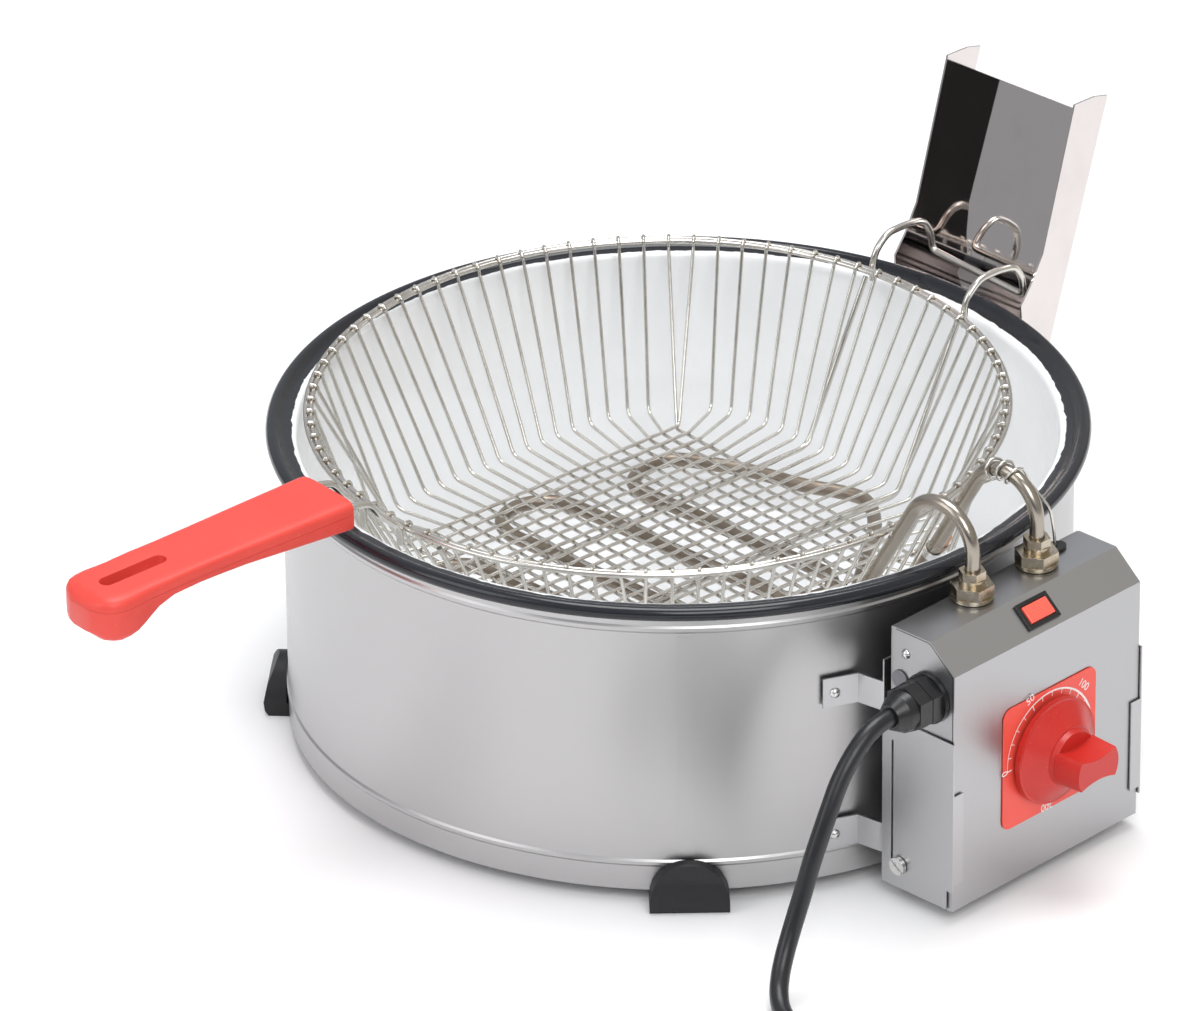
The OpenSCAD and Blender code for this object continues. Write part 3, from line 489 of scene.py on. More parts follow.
FINISH = {
    "casing": brushed_steel("casing_steel", 0.47, (3.0, 2600.0), 0.35, 0.07, 0.02, 0.006),
    "sheet": brushed_steel("bracket_steel", 0.47, (1100.0, 9.0), 0.30, 0.08, 0.05),
    "box": brushed_steel("box_steel", 0.44, (900.0, 7.0), 0.33, 0.07, 0.05),
    "mirror": mirror_steel(),
    "wire": wire_steel(),
    "weld": weld_bead(),
    "element": element_tube(),
    "brass": plated_brass(),
    "zinc": zinc_plate(),
    "enamel": pan_enamel(),
    "grip": coral_plastic(
        "handle_coral", rgb(0.66, 0.050, 0.036), rgb(0.76, 0.072, 0.052), 0.42, 900.0
    ),
    "knob": coral_plastic(
        "knob_coral", rgb(0.50, 0.018, 0.013), rgb(0.60, 0.030, 0.021), 0.30, 1500.0
    ),
    "plate": coral_plastic(
        "dial_coral", rgb(0.80, 0.070, 0.048), rgb(0.90, 0.105, 0.074), 0.36, 1700.0
    ),
    "rubber": black_rubber(),
    "nylon": black_nylon(),
    "grey_plug": black_nylon("plug_grey", 0.16),
    "cord": cord_sheath(),
    "lens": pilot_red(),
    "ceramic": steatite(),
    "copper": drawn_copper(),
    "print": scale_white(),
    "cores": core_insulation(),
}


# ---- making pieces -------------------------------------------------------------------


def link(name, data):
    piece = bpy.data.objects.new(name, data)
    bpy.context.scene.collection.objects.link(piece)
    return piece


def dress(piece, finish, body, nodes=(), sharp=32.0):
    """Gives a piece its material, smooth shading, body and the nodes it stands for."""
    if finish is not None:
        piece.data.materials.clear()
        piece.data.materials.append(FINISH[finish])
    if piece.type == "MESH":
        piece.data.shade_smooth()
        piece.data.set_sharp_from_angle(angle=math.radians(sharp))
    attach(piece, body)
    if nodes:
        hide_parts(*nodes)
    return piece


def mesh_from(name, verts, faces):
    mesh = bpy.data.meshes.new(name)
    mesh.from_pydata([Vector(v) * MM for v in verts], [], faces)
    mesh.validate()
    mesh.update()
    return link(name, mesh)


def outward(piece):
    """Merges the doubles of a closed mesh and points every face outwards."""
    shape = bmesh.new()
    shape.from_mesh(piece.data)
    bmesh.ops.remove_doubles(shape, verts=shape.verts, dist=1e-7)
    bmesh.ops.recalc_face_normals(shape, faces=shape.faces)
    shape.to_mesh(piece.data)
    shape.free()
    return piece


def settle(piece):
    """Replaces a piece by a plain mesh of what its modifiers or curve make."""
    view = bpy.context.evaluated_depsgraph_get()
    plain = bpy.data.meshes.new_from_object(piece.evaluated_get(view), depsgraph=view)
    name = piece.name
    bpy.data.objects.remove(piece)
    plain.name = name
    return link(name, plain)


def lathe(name, outline, segments):
    """A closed outline of (radius, height) turned about the Z axis."""
    verts = []
    count = len(outline)
    for s in range(segments):
        turn = 2 * math.pi * s / segments
        verts += [(r * math.cos(turn), r * math.sin(turn), h) for r, h in outline]
    faces = []
    for s in range(segments):
        after = (s + 1) % segments
        for i in range(count):
            j = (i + 1) % count
            faces.append((s * count + i, s * count + j, after * count + j, after * count + i))
    return outward(mesh_from(name, verts, faces))


def rounded(path, cut, steps=5):
    """A path whose corners are cut by smooth curves that start cut before them."""
    points = [Vector(p) for p in path]
    out = [points[0]]
    for a, b, c in zip(points, points[1:], points[2:]):
        start = b + (a - b).normalized() * min(cut, (a - b).length * 0.48)
        end = b + (c - b).normalized() * min(cut, (c - b).length * 0.48)
        for k in range(steps + 1):
            t = k / steps
            out.append(start * (1 - t) ** 2 + b * 2 * t * (1 - t) + end * t * t)
    out.append(points[-1])
    return out


def arc(centre, radius, start, end, steps, plane):
    """Points on a circle's arc; plane gives the two axes that the angle turns between."""
    first, second = (Vector(v) for v in plane)
    out = []
    for k in range(steps + 1):
        turn = math.radians(start + (end - start) * k / steps)
        out.append(Vector(centre) + (first * math.cos(turn) + second * math.sin(turn)) * radius)
    return out


def rod(name, paths, diameter, sides=14, move=None):
    """Round bars along one or more paths, with closed ends."""
    data = bpy.data.curves.new(name, "CURVE")
    data.dimensions = "3D"
    data.bevel_depth = diameter / 2 * MM
    data.bevel_resolution = max(1, sides // 2 - 2)
    data.use_fill_caps = True
    for path in paths:
        spline = data.splines.new("POLY")
        spline.points.add(len(path) - 1)
        for point, place in zip(spline.points, path):
            point.co = (*(Vector(place) * MM), 1.0)
    piece = settle(link(name, data))
    outward(piece)
    if move is not None:
        piece.data.transform(move)
    return piece


BODY_OF = {
    node: body for body, nodes in frame["record"]["behaviour"]["bodies"].items() for node in nodes
}


def skin(node, finish, width, sharp=32.0, segments=2):
    """A CAD node's own shape, its edges broken by a small round where width is over 0."""
    source = frame["nodes"][node]
    piece = link(node + "_skin", source.data.copy())
    shape = bmesh.new()
    shape.from_mesh(piece.data)
    bmesh.ops.remove_doubles(shape, verts=shape.verts, dist=2e-6)
    bmesh.ops.dissolve_limit(
        shape, angle_limit=math.radians(0.4), verts=shape.verts, edges=shape.edges
    )
    shape.to_mesh(piece.data)
    shape.free()
    piece.data.shade_smooth()
    if width > 0:
        bevel = piece.modifiers.new("edge_round", "BEVEL")
        bevel.limit_method = "ANGLE"
        bevel.angle_limit = math.radians(sharp)
        bevel.width = width * MM
        bevel.segments = segments
        flat = piece.modifiers.new("flat_faces", "WEIGHTED_NORMAL")
        flat.keep_sharp = True
        piece = settle(piece)
    else:
        piece.data.set_sharp_from_angle(angle=math.radians(sharp))
    piece.data.materials.clear()
    piece.data.materials.append(FINISH[finish])
    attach(piece, BODY_OF[node])
    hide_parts(node)
    return piece


# ---- mains cord ------------------------------------------------------------------------

CORD_ROUTE = [
    (-98, -247.5, 129), (-106, -247.5, 129), (-115, -247.5, 127.5), (-124, -247.5, 123),
    (-133, -247.5, 115.5), (-141, -247.5, 106), (-148, -248, 95), (-155, -248, 82),
    (-162, -248, 68), (-168, -248, 54), (-173.8, -248, 41.5), (-179.5, -248.7, 31),
    (-185.7, -250.6, 22), (-192, -254, 14.8), (-198, -259, 9.6), (-203.2, -265.6, 6.4),
    (-207.4, -273.5, 5.2), (-210.4, -282.5, 5.2), (-212.8, -292, 5.2), (-214.4, -302, 5.2),
    (-215, -311.5, 5.2),
]
TAIL_ROUTE = [
    (-340, -322, 15.2), (-340, -312, 15.2), (-340, -302, 15.2), (-340, -292, 15),
    (-340, -282, 13.6), (-340, -272, 11.6), (-340, -262, 9.8), (-340, -250, 9),
]
COIL_MIDDLE = (-280, -332)


def coil_turns():
    """Two flat turns inwards on the table, a climb, and just over one turn back out on top."""
    out = []
    start, end = 14.0, -1252.0
    steps = 72
    climb_from, climb_to = -720.0, -850.0
    inner = COIL_OUTER_R - TURN_PITCH * (start - climb_from) / 360
    for k in range(steps + 1):
        angle = start + (end - start) * k / steps
        turned = start - angle
        if angle > climb_from:
            radius = COIL_OUTER_R - TURN_PITCH * turned / 360
            height = CORD_LOW
        elif angle > climb_to:
            radius = inner
            height = CORD_LOW + TURN_PITCH * (climb_from - angle) / (climb_from - climb_to)
        else:
            radius = inner + (COIL_TOP_R - inner) * (climb_to - angle) / (climb_to - end)
            height = CORD_HIGH
        turn = math.radians(angle)
        out.append((
            COIL_MIDDLE[0] + radius * math.cos(turn),
            COIL_MIDDLE[1] + radius * math.sin(turn),
            height,
        ))
    return out


def along(points):
    return sum((Vector(b) - Vector(a)).length for a, b in zip(points, points[1:]))


def mains_cord():
    """The black cord: from the gland to the table, round its coil and on to the plug."""
    points = CORD_ROUTE + coil_turns() + TAIL_ROUTE
    data = bpy.data.curves.new("mains_cord", "CURVE")
    data.dimensions = "3D"
    data.bevel_depth = CORD_D / 2 * MM
    data.bevel_resolution = 8
    data.resolution_u = 4
    data.use_fill_caps = True
    spline = data.splines.new("BEZIER")
    spline.bezier_points.add(len(points) - 1)
    for point, place in zip(spline.bezier_points, points):
        point.co = Vector(place) * MM
        point.handle_left_type = "AUTO"
        point.handle_right_type = "AUTO"
    cord = link("mains_cord", data)
    data.materials.append(FINISH["cord"])
    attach(cord, "head")
    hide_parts("power_cord", "cord_coil", "cord_tail")
    skin("plug_body", "nylon", 1.2, segments=3)
    skin("plug_pins", "brass", 0.25)
    return cord


mains_cord()


# ---- geometry node trees ---------------------------------------------------------------


def grown(name, finish, build, inputs):
    """A mesh made by a node tree from named inputs, turned into a plain piece."""
    group = bpy.data.node_groups.new(name, "GeometryNodeTree")
    kinds = {int: "NodeSocketInt", float: "NodeSocketFloat"}
    for label, value in inputs.items():
        group.interface.new_socket(label, in_out="INPUT", socket_type=kinds[type(value)])
    group.interface.new_socket("Geometry", in_out="OUTPUT", socket_type="NodeSocketGeometry")
    tree = Tree(group)
    entry = group.nodes.new("NodeGroupInput")
    given = {label: Value(tree, entry.outputs[label]) for label in inputs}
    whole = tree.node("GeometryNodeRealizeInstances", None, [build(tree, given)])
    painted = {"Geometry": whole, "Material": FINISH[finish]}
    tree.node("NodeGroupOutput", None, [tree.node("GeometryNodeSetMaterial", None, painted)])
    piece = link(name, bpy.data.meshes.new(name))
    modifier = piece.modifiers.new(name, "NODES")
    modifier.node_group = group
    for socket in group.interface.items_tree:
        if socket.in_out == "INPUT":
            modifier[socket.identifier] = inputs[socket.name]
    return settle(piece)


def drawn_wires(tree, wires, points, place, diameter, fillet=None, sides=8):
    """Many wires of as many points each; place(wire, point) gives the position."""
    line = tree.node("GeometryNodeMeshLine", None, {"Count": points})
    curve = tree.node("GeometryNodeMeshToCurve", None, [line])
    amount = {"Geometry": curve, "Amount": wires}
    many = tree.node("GeometryNodeDuplicateElements", {"domain": "SPLINE"}, amount)
    index = tree.node("GeometryNodeInputIndex")
    wire = (index / points).floor()
    where = place(wire, index - wire * points)
    bent = tree.node("GeometryNodeSetPosition", None, {"Geometry": many, "Position": where})
    if fillet is not None:
        values = {"Curve": bent, "Radius": fillet, "Limit Radius": True, "Count": 3}
        bent = tree.node("GeometryNodeFilletCurve", {"mode": "POLY"}, values)
    profile = {"Resolution": sides, "Radius": diameter * 0.5}
    circle = tree.node("GeometryNodeCurvePrimitiveCircle", None, profile)
    swept = {"Curve": bent, "Profile Curve": circle, "Fill Caps": True}
    return tree.node("GeometryNodeCurveToMesh", None, swept)


def side_wires(tree, given):
    """The basket's wall: wires that fan out from the mesh, climb and lap over the rim."""
    per_side = given["Wires on a side"]
    weave = given["Weave height"]
    top = given["Radius under the rim"]
    half = MESH_HALF * MM

    def place(wire, point):
        side = (wire / per_side).floor()
        number = wire - side * per_side - (per_side - 1) * 0.5
        angle = number * (math.pi / 2) / per_side
        layer = 1 - (side - (side / 2).floor() * 2) * 2
        wave = (angle * 2.0).sin()
        fan = 0.134 + wave * wave * 0.022
        last = number.abs().equals((per_side - 1) * 0.5)
        along = number * (2 * half) / (per_side - 1)
        low = layer * weave + MESH_Z * MM
        stations = [
            (half + 0.0001, along, low),
            (
                angle.cos() * fan * (1 - last) + last * (half + 0.0022),
                angle.sin() * fan * (1 - last) + last * (along + number.sign() * 0.0012),
                low + 0.0004,
            ),
        ]
        for outward_by, height in ((0.0, -1.6), (0.4, 0.9), (1.6, 2.3), (4.4, 2.5)):
            radius = top + outward_by * MM
            stations.append((angle.cos() * radius, angle.sin() * radius, height * MM))
        parts = []
        for axis in range(3):
            total = None
            for number_of, station in enumerate(stations):
                share = point.equals(float(number_of)) * station[axis]
                total = share if total is None else total + share
            parts.append(total)
        turn = side * (math.pi / 2)
        x = parts[0] * turn.cos() - parts[1] * turn.sin()
        y = parts[0] * turn.sin() + parts[1] * turn.cos()
        return tree.join(x, y, parts[2])

    return drawn_wires(tree, per_side * 4, 6, place, given["Wire diameter"], 0.006)


def crossed_floor(tree, given):
    """The basket's floor: a layer of slightly crimped wires laid across another."""
    count = given["Wires each way"]
    pitch = given["Pitch"]
    weave = given["Weave height"]

    def place(wire, point):
        across = (wire / count).floor()
        number = wire - across * count - (count - 1) * 0.5
        along = point * pitch * 0.25 - pitch * (count - 1) * 0.5
        crimp = (along / pitch * math.pi).cos() * (number * math.pi).cos()
        height = (crimp * 0.16 + 1) * weave * (1 - across * 2) + MESH_Z * MM
        offset = number * pitch
        x = along * (1 - across) + offset * across
        y = offset * (1 - across) + along * across
        return tree.join(x, y, height)

    points = 4 * (SIDE_WIRES - 1) + 1
    return drawn_wires(tree, count * 2, points, place, given["Wire diameter"], None, 6)


def weld_beads(tree, given):
    """A small uneven knot of weld on the rim at every side wire."""
    circle = {"Vertices": given["Beads"], "Radius": given["Radius"]}
    points = tree.node("GeometryNodeMeshCircle", {"fill_type": "NONE"}, circle)
    moved = {"Geometry": points, "Offset": tree.join(0.0, 0.0, given["Height"])}
    points = tree.node("GeometryNodeSetPosition", None, moved)
    bead = {"Radius": given["Bead radius"], "Subdivisions": 2}
    bead = tree.node("GeometryNodeMeshIcoSphere", None, bead)
    least, most, seed = (0.85, 0.70, 0.62), (1.35, 1.0, 0.86), given["Seed"]
    size = {0: least, 1: most, "Seed": seed}
    size = tree.node("FunctionNodeRandomValue", {"data_type": "FLOAT_VECTOR"}, size)
    angle = tree.node("GeometryNodeInputIndex") * (2 * math.pi) / given["Beads"]
    values = {
        "Points": points,
        "Instance": bead,
        "Rotation": tree.join(0.0, 0.0, angle),
        "Scale": size,
    }
    return tree.node("GeometryNodeInstanceOnPoints", None, values)


def scale_ticks(tree, given):
    """The dial's ticks, a longer one at each number."""
    count = given["Ticks"]
    line = tree.node("GeometryNodeMeshLine", None, {"Count": count})
    index = tree.node("GeometryNodeInputIndex")
    angle = math.radians(SCALE_START) - index * math.radians(SCALE_SWEEP) / (count - 1)
    long_one = (index / 5 - (index / 5).floor()).equals(0.0)
    reach = 0.0312 - long_one * 0.0003
    where = tree.join(
        angle.cos() * reach + KNOB_X * MM, DIAL_FACE_Y * MM, angle.sin() * reach + KNOB_Z * MM
    )
    points = tree.node("GeometryNodeSetPosition", None, {"Geometry": line, "Position": where})
    block = tree.node("GeometryNodeMeshCube", None, {"Size": (0.0024, 0.0001, 0.0004)})
    values = {
        "Points": points,
        "Instance": block,
        "Rotation": tree.join(0.0, -angle, 0.0),
        "Scale": tree.join(1 + long_one * 0.5, 1.0, 1 + long_one * 0.5),
    }
    return tree.node("GeometryNodeInstanceOnPoints", None, values)


# ---- casing, pan and hanger --------------------------------------------------------------

skin("casing_shell", "casing", 0.18)
skin("casing_floor", "casing", 0.0)
for foot in ("foot_front_left", "foot_front_right", "foot_rear_left", "foot_rear_right"):
    skin(foot, "rubber", 1.1, segments=3)
skin("cradle_bracket", "sheet", 0.16)
skin("hanger_plate", "mirror", 0.22)
for fixing in ("foot_screws", "cradle_screws", "cradle_rivets", "hanger_rivets"):
    skin(fixing, "zinc", 0.12)


def pan_outline():
    """The pan's section: flat bottom, round corner, wall, flange and rolled bead."""
    wall, bottom, corner = PAN_WALL, PAN_BOTTOM, PAN_CORNER_R
    foot_r = PAN_R - 3 - corner
    outline = [(0.001, bottom), (foot_r * 0.5, bottom), (foot_r, bottom)]
    centre = bottom + wall + corner
    for step in range(1, 13):
        turn = math.radians(-90 + 7.5 * step)
        reach = corner + wall
        outline.append((foot_r + reach * math.cos(turn), centre + reach * math.sin(turn)))
    outer = PAN_R + wall
    outline += [(outer - 0.1, 168.0), (outer + 0.5, 170.6), (outer + 3, 171.9), (212.6, 173.1)]
    for step in range(19):
        turn = math.radians(198 + 16.6 * step)
        across, up = RIM_BEAD_R * math.cos(turn), RIM_BEAD_R * math.sin(turn)
        outline.append((RIM_BEAD_AT[0] + across, RIM_BEAD_AT[1] + up))
    outline += [(212.2, 175.0), (209, 174.55), (206.2, 174.5), (204.4, 173.9), (203.4, 172.6)]
    outline.append((PAN_R, 170.0))
    for step in range(13):
        turn = math.radians(-7.5 * step)
        outline.append((foot_r + corner * math.cos(turn), centre + corner * math.sin(turn)))
    outline += [(foot_r * 0.5, bottom + wall), (0.001, bottom + wall)]
    return outline


dress(lathe("frying_pan_body", pan_outline(), 240), "enamel", "pan", ["frying_pan"], 50.0)

# ---- head --------------------------------------------------------------------------------

skin("box_cover", "box", 0.45)
skin("box_chassis", "box", 0.1)
skin("dial_plate", "plate", 0.28)
skin("pilot_bezel", "nylon", 0.6)
skin("pilot_lens", "lens", 0.7)
skin("knob", "knob", 0.7, segments=3)
skin("hole_plug", "grey_plug", 0.4)
skin("capillary_grommet", "nylon", 0.4)
for part in ("gland_body", "gland_cap", "gland_locknut"):
    skin(part, "nylon", 0.7, segments=3)
for part in ("element_fittings", "element_washers", "element_locknuts"):
    skin(part, "brass", 0.45)
skin("element_terminals", "brass", 0.1)
skin("capillary_tube", "wire", 0.0, 50.0)
skin("thermostat_bulb", "copper", 0.5)
skin("bulb_clips", "zinc", 0.15)
skin("thermostat_body", "ceramic", 0.4)
skin("terminal_block", "ceramic", 0.5)
skin("core_wires", "cores", 0.0, 50.0)
for fixing in ("box_rivets", "thermostat_screws", "terminal_screws", "thermostat_spindle"):
    skin(fixing, "zinc", 0.12)
skin("pilot_terminals", "zinc", 0.1)


def element_route():
    """One tube: up through a nut, over the pan's rim, flat loops, and back the same way."""
    low = LOOP_Z
    leg = [(LEG_HALF, NUT_Y, 146), (LEG_HALF, NUT_Y, 166)]
    arch = arc((LEG_HALF, -208.7, 186), 22.2, 180, 30.3, 20, ((0, 1, 0), (0, 0, 1)))
    runs = [
        (LEG_HALF, LEG_MID_Y, LEG_MID_Z),
        (LEG_HALF, LEG_MID_Y + (LEG_MID_Z - low) / LEG_SLOPE, low),
        (24, -98, low), (72, -64, low), (121, -30, low), (139, -8, low), (137, 8, low),
        (127, 29, low), (121, 62, low), (110, 88, low), (101, 106, low), (80, 108, low),
        (64, 101, low), (61, 84, low), (61, 20, low),
    ]
    turn = arc((42.5, -45, low), 18.5, 0, -180, 16, ((1, 0, 0), (0, 1, 0)))
    nose = arc((0, 103, low), 24, 0, 90, 9, ((1, 0, 0), (0, 1, 0)))
    half = leg + arch + rounded(runs, 16.0, 6) + turn + [(24, 0, low), (24, 50, low)] + nose
    half = [Vector(p) for p in half]
    other = [Vector((-p.x, p.y, p.z)) for p in reversed(half[:-1])]
    return [p + Vector((LEG_X, 0, 0)) for p in half + other]


def cover_gaps():
    """Thin dark beads: painted shade in the gaps along the cover's folded top and bevel."""
    paths = []
    for x in (BOX_X - BOX_W / 2 + GAP_INSET, BOX_X + BOX_W / 2 - GAP_INSET):
        path = [(x, -224, 160.1), (x, -247.3, 160.1), (x, -263.6, 146.0), (x, -263.6, 102)]
        paths.append(rounded(path, 1.5, 3))
    return rod("cover_gaps", paths, 0.55, 8)


# painted shade: black nylon beads stand for the shade inside the cover's gaps
dress(cover_gaps(), "nylon", "head", (), 60.0)
heating_tube = rod("heating_tube", [element_route()], TUBE_D, 20)
dress(heating_tube, "element", "head", ["heating_element"], 60)


def dial_print():
    """The white arc that thickens with the heat, and the numbers around it."""
    verts, faces = [], []
    steps = 72
    for step in range(steps + 1):
        share = step / steps
        turn = math.radians(SCALE_START - SCALE_SWEEP * share)
        for radius in (32.4, 32.7 + 1.7 * share):
            verts.append((
                KNOB_X + radius * math.cos(turn), SCALE_ARC_Y, KNOB_Z + radius * math.sin(turn)
            ))
        if step:
            i = 2 * step
            faces.append((i - 2, i, i + 1, i - 1))
    band = mesh_from("scale_arc", verts, faces)
    dress(band, "print", "head")
    for number, angle in ((0, 183), (50, 114), (100, 45.5), (150, -23), (200, -92)):
        words = bpy.data.curves.new("scale_number", "FONT")
        words.body = str(number)
        words.size = 6.2 * MM
        words.align_x = "CENTER"
        words.align_y = "CENTER"
        words.extrude = 0.03 * MM
        mark = settle(link(f"scale_number_{number}", words))
        turn = math.radians(angle)
        reach = 37.6 if number in (50, 100, 150) else 34.4
        spot = Vector((
            KNOB_X + reach * math.cos(turn), DIAL_FACE_Y, KNOB_Z + reach * math.sin(turn)
        ))
        lean = Matrix.Rotation(math.radians(angle - 90), 4, "Z")
        upright = Matrix.Rotation(math.radians(90), 4, "X")
        mark.data.transform(Matrix.Translation(spot * MM) @ upright @ lean)
        dress(mark, "print", "head")


dial_print()
ticks = grown("scale_ticks", "print", scale_ticks, {"Ticks": 21})
dress(ticks, None, "head")

# ---- basket ------------------------------------------------------------------------------

skin("basket_rim", "wire", 0.0, 50.0)
skin("basket_hook", "wire", 0.0, 50.0)
skin("handle_tangs", "wire", 0.0, 50.0)
skin("handle_screws", "zinc", 0.1)

wall = grown(
    "basket_wall_wires",
    "wire",
    side_wires,
    {
        "Wires on a side": SIDE_WIRES,
        "Weave height": WEAVE * MM,
        "Radius under the rim": WALL_TOP_R * MM,
        "Wire diameter": FINE_WIRE * MM,
    },
)
wall.data.transform(BASKET)
dress(wall, None, "basket", ["basket_side_wires"], 60.0)

floor_mesh = grown(
    "basket_floor_mesh",
    "wire",
    crossed_floor,
    {
        "Wires each way": SIDE_WIRES,
        "Pitch": MESH_PITCH * MM,
        "Weave height": WEAVE * MM,
        "Wire diameter": FINE_WIRE * MM,
    },
)
floor_mesh.data.transform(BASKET)
dress(floor_mesh, None, "basket", ["basket_mesh_upper", "basket_mesh_lower"], 60.0)

beads = grown(
    "rim_weld_beads",
    "weld",
    weld_beads,
    {
        "Beads": 4 * SIDE_WIRES,
        "Radius": WELD_RING_R * MM,
        "Height": 2.1 * MM,
        "Bead radius": 1.45 * MM,
        "Seed": 7,
    },
)
beads.data.transform(BASKET)
dress(beads, None, "basket", (), 80.0)


def support_rods():
    """Two straight rods under the mesh that rise to the rim at both ends."""
    low = MESH_Z + WEAVE - 4.65
    paths = []
    for y in (-37, 37):
        path = [(-182.9, y, -4.2), (-138.5, y, low), (138.5, y, low), (182.9, y, -4.2)]
        paths.append(rounded(path, 7.0, 6))
    return rod("support_rods", paths, 3.0, 14, BASKET)


dress(support_rods(), "wire", "basket", ["basket_support_rods"], 60.0)


# ---- handle ------------------------------------------------------------------------------

SEAM_Z = 26.0
SEAM_HALF_GAP = 0.08
SLOT_R = 4.3
SLOT_ENDS = ((-371.7, 90), (-338.3, -90))
CORNER_POWER = 2 / 5.5
HANDLE_PLAN = [
    (-225, 21.4), (-229, 22), (-265, 21), (-294, 20), (-327, 19.3), (-358, 20), (-372, 21.6),
    (-381, 20.6), (-387, 16), (-390, 8),
]
HANDLE_TOP = [(-225, 32.6), (-227, 33), (-381, 33), (-387, 31.4), (-390, 27)]
HANDLE_UNDER = [
    (-390, 12.5), (-389, 12), (-385, 8.2), (-378, 7), (-369, 8), (-361, 12), (-353, 17.4),
    (-343, 20.6), (-320, 21.2), (-296, 20.4), (-262, 17.8), (-225, 15),
]


def at(table, x):
    """Straight-line reading of an (x, value) table."""
    table = sorted(table)
    if x <= table[0][0]:
        return table[0][1]
    for (x0, v0), (x1, v1) in zip(table, table[1:]):
        if x <= x1:
            return v0 + (v1 - v0) * (x - x0) / (x1 - x0)
    return table[-1][1]


def handle_body():
    """The whole grip: a loft of rounded sections with a hanging slot cut through it."""
    stations = [-390, -389.4, -388, -385.5, -382, -378, -373, -368, -363, -358, -353, -348]
    stations += [-343, -335, -325, -310, -296, -280, -265, -250, -238, -229, -226.5, -225.2]
    verts, faces = [], []
    ring = 32
    for x in stations:
        half, top, under = at(HANDLE_PLAN, x), at(HANDLE_TOP, x), at(HANDLE_UNDER, x)
        shrink = 0.93 if x == stations[-1] else 1.0
        middle, tall = (top + under) / 2, (top - under) / 2
        for k in range(ring):
            turn = 2 * math.pi * k / ring
            c, s = math.cos(turn), math.sin(turn)
            y = half * shrink * math.copysign(abs(c) ** CORNER_POWER, c)
            z = middle + tall * shrink * math.copysign(abs(s) ** CORNER_POWER, s)
            verts.append((x, y, z))
    for row in range(len(stations) - 1):
        for k in range(ring):
            j = (k + 1) % ring
            a, b = row * ring, (row + 1) * ring
            faces.append((a + k, a + j, b + j, b + k))
    faces.append(tuple(range(ring)))
    faces.append(tuple(range(len(verts) - ring, len(verts))))
    body = outward(mesh_from("handle_body", verts, faces))
    slot = []
    for middle, start in SLOT_ENDS:
        for turn in range(0, 181, 12):
            a = math.radians(start + turn)
            slot.append((middle + SLOT_R * math.cos(a), SLOT_R * math.sin(a)))
    count = len(slot)
    verts = [(x, y, z) for z in (-10, 50) for x, y in slot]
    faces = [(i, (i + 1) % count, count + (i + 1) % count, count + i) for i in range(count)]
    faces += [tuple(range(count)), tuple(range(count, 2 * count))]
    cutter = outward(mesh_from("slot_cutter", verts, faces))
    cut = body.modifiers.new("hanging_slot", "BOOLEAN")
    cut.operation = "DIFFERENCE"
    cut.solver = "EXACT"
    cut.object = cutter
    round_off = body.modifiers.new("edge_round", "BEVEL")
    round_off.limit_method = "ANGLE"
    round_off.angle_limit = math.radians(50)
    round_off.width = 1.3 * MM
    round_off.segments = 3
    body = settle(body)
    bpy.data.objects.remove(cutter)
    return body


def handle_shell(body, name, node, level, keep_above):
    """The part of the grip above or below the seam."""
    shell = link(name, body.data.copy())
    shape = bmesh.new()
    shape.from_mesh(shell.data)
    cut = bmesh.ops.bisect_plane(
        shape,
        geom=shape.verts[:] + shape.edges[:] + shape.faces[:],
        plane_co=(0, 0, level * MM),
        plane_no=(0, 0, 1),
        clear_inner=keep_above,
        clear_outer=not keep_above,
    )
    rims = [e for e in cut["geom_cut"] if isinstance(e, bmesh.types.BMEdge)]
    bmesh.ops.triangle_fill(shape, use_beauty=True, use_dissolve=False, edges=rims)
    shape.to_mesh(shell.data)
    shape.free()
    outward(shell)
    shell.data.transform(BASKET)
    dress(shell, "grip", "basket", [node], 38.0)


grip = handle_body()
handle_shell(grip, "grip_upper", "handle_upper_shell", SEAM_Z + SEAM_HALF_GAP, True)
handle_shell(grip, "grip_lower", "handle_lower_shell", SEAM_Z - SEAM_HALF_GAP, False)
bpy.data.objects.remove(grip)

# ---- studio ------------------------------------------------------------------------------


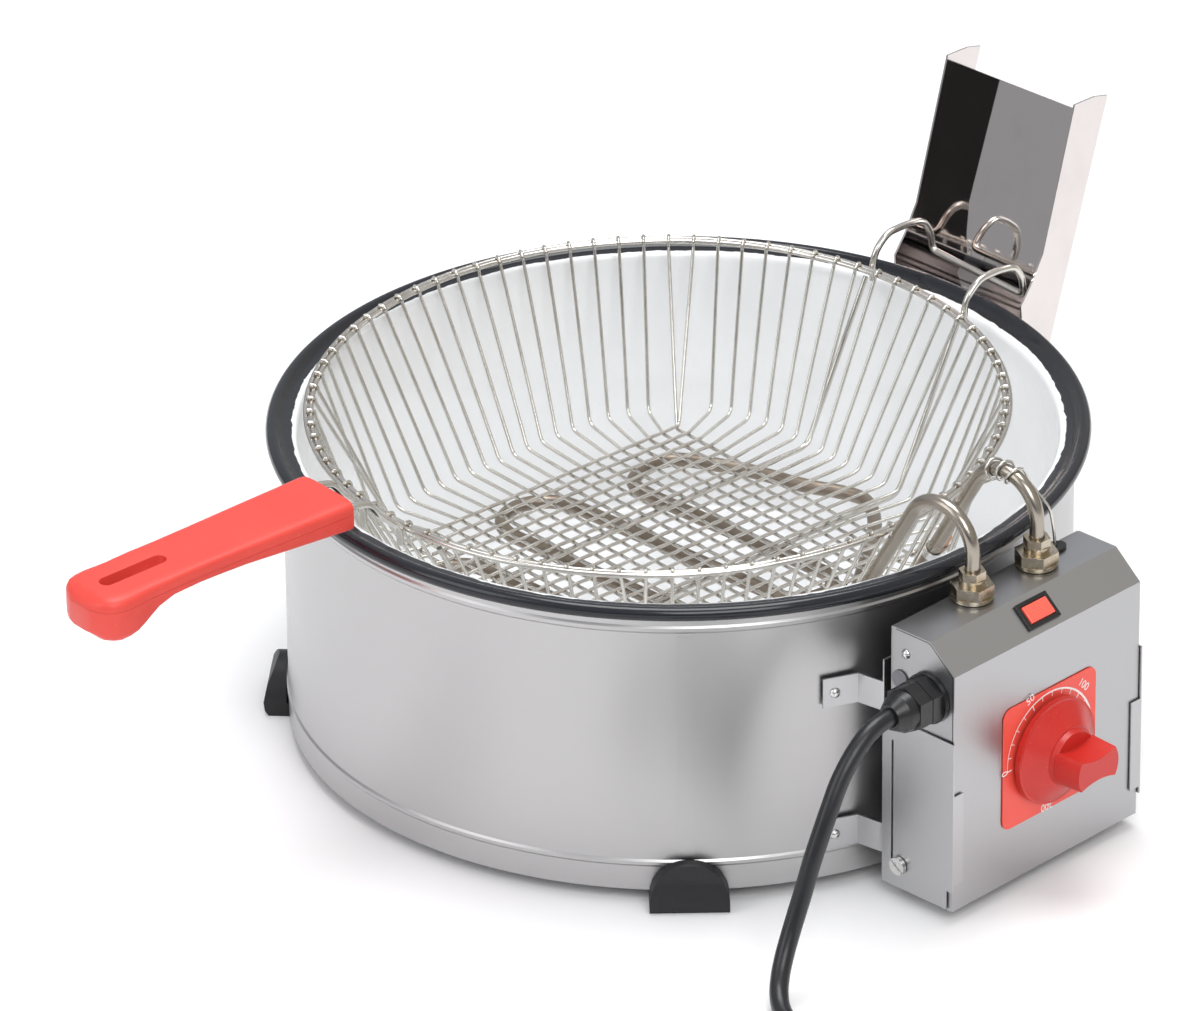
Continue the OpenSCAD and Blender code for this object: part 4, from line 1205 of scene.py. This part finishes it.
def studio_floor():
    """A large, flat, pale board."""
    material, tree, place = new_material("pale_board")
    cloud = tree.noise(place, 1.2, 3.0, 0.5)
    colour = tree.mix(cloud, rgb(0.93, 0.93, 0.93), rgb(0.95, 0.95, 0.95))
    finish_material(material, tree, colour, 0.7 + cloud * 0.1, None, {"Specular IOR Level": 0.2})
    board = mesh_from(
        "studio_board",
        [(-9000, -9000, 0), (9000, -9000, 0), (9000, 9000, 0), (-9000, 9000, 0)],
        [(0, 1, 2, 3)],
    )
    board.data.materials.append(material)
    return board


def soft_light(name, place, target, width, height, power):
    data = bpy.data.lights.new(name, "AREA")
    data.shape = "RECTANGLE"
    data.size = width
    data.size_y = height
    data.energy = power
    lamp = link(name, data)
    lamp.location = place
    lamp.rotation_euler = (Vector(target) - Vector(place)).to_track_quat("-Z", "Y").to_euler()
    return lamp


def studio_world():
    """A pale room, brighter overhead, with soft bands and a dark corner in the steel."""
    world = bpy.data.worlds.new("studio_room")
    world.use_nodes = True
    world.node_tree.nodes.clear()
    bpy.context.scene.world = world
    tree = Tree(world.node_tree)
    look = tree.node("ShaderNodeTexCoord", None, None, "Generated")
    x, y, z = tree.split(look)
    side = x * 0.78 - y * 0.62
    band = ((x * 2.0 + y * 3.0).sin() * 0.5 + 0.5) * (1 - z.step(0.1, 0.5))
    level = z.step(-0.10, 0.55, 0.70, 1.15)
    dark_corner = (x * -0.786 - y * 0.6185).step(0.88, 0.965) * (1 - z.abs().step(0.12, 0.30))
    grey = level * (1 - band * 0.22) * (1 - dark_corner * 0.93)
    warm = side.step(0.2, 0.9)
    colour = tree.mix(warm, rgb(0.93, 0.95, 1.0), rgb(1.0, 0.95, 0.87))
    shade = tree.mix(grey, rgb(0, 0, 0), colour)
    back = tree.node("ShaderNodeBackground", None, {"Color": shade, "Strength": 0.62})
    tree.node("ShaderNodeOutputWorld", None, [back])


studio_world()
studio_floor()
soft_light("key_softbox", (-1.6, -2.4, 2.6), (0, 0, 0.1), 1.8, 1.8, 50)
soft_light("fill_softbox", (-2.8, 0.9, 1.9), (0, 0, 0.1), 1.6, 2.2, 22)
soft_light("top_softbox", (0.3, 0.2, 2.9), (0, 0, 0.1), 1.7, 1.7, 56)
scene = bpy.context.scene
scene.view_settings.view_transform = "Standard"
scene.view_settings.exposure = 0.0
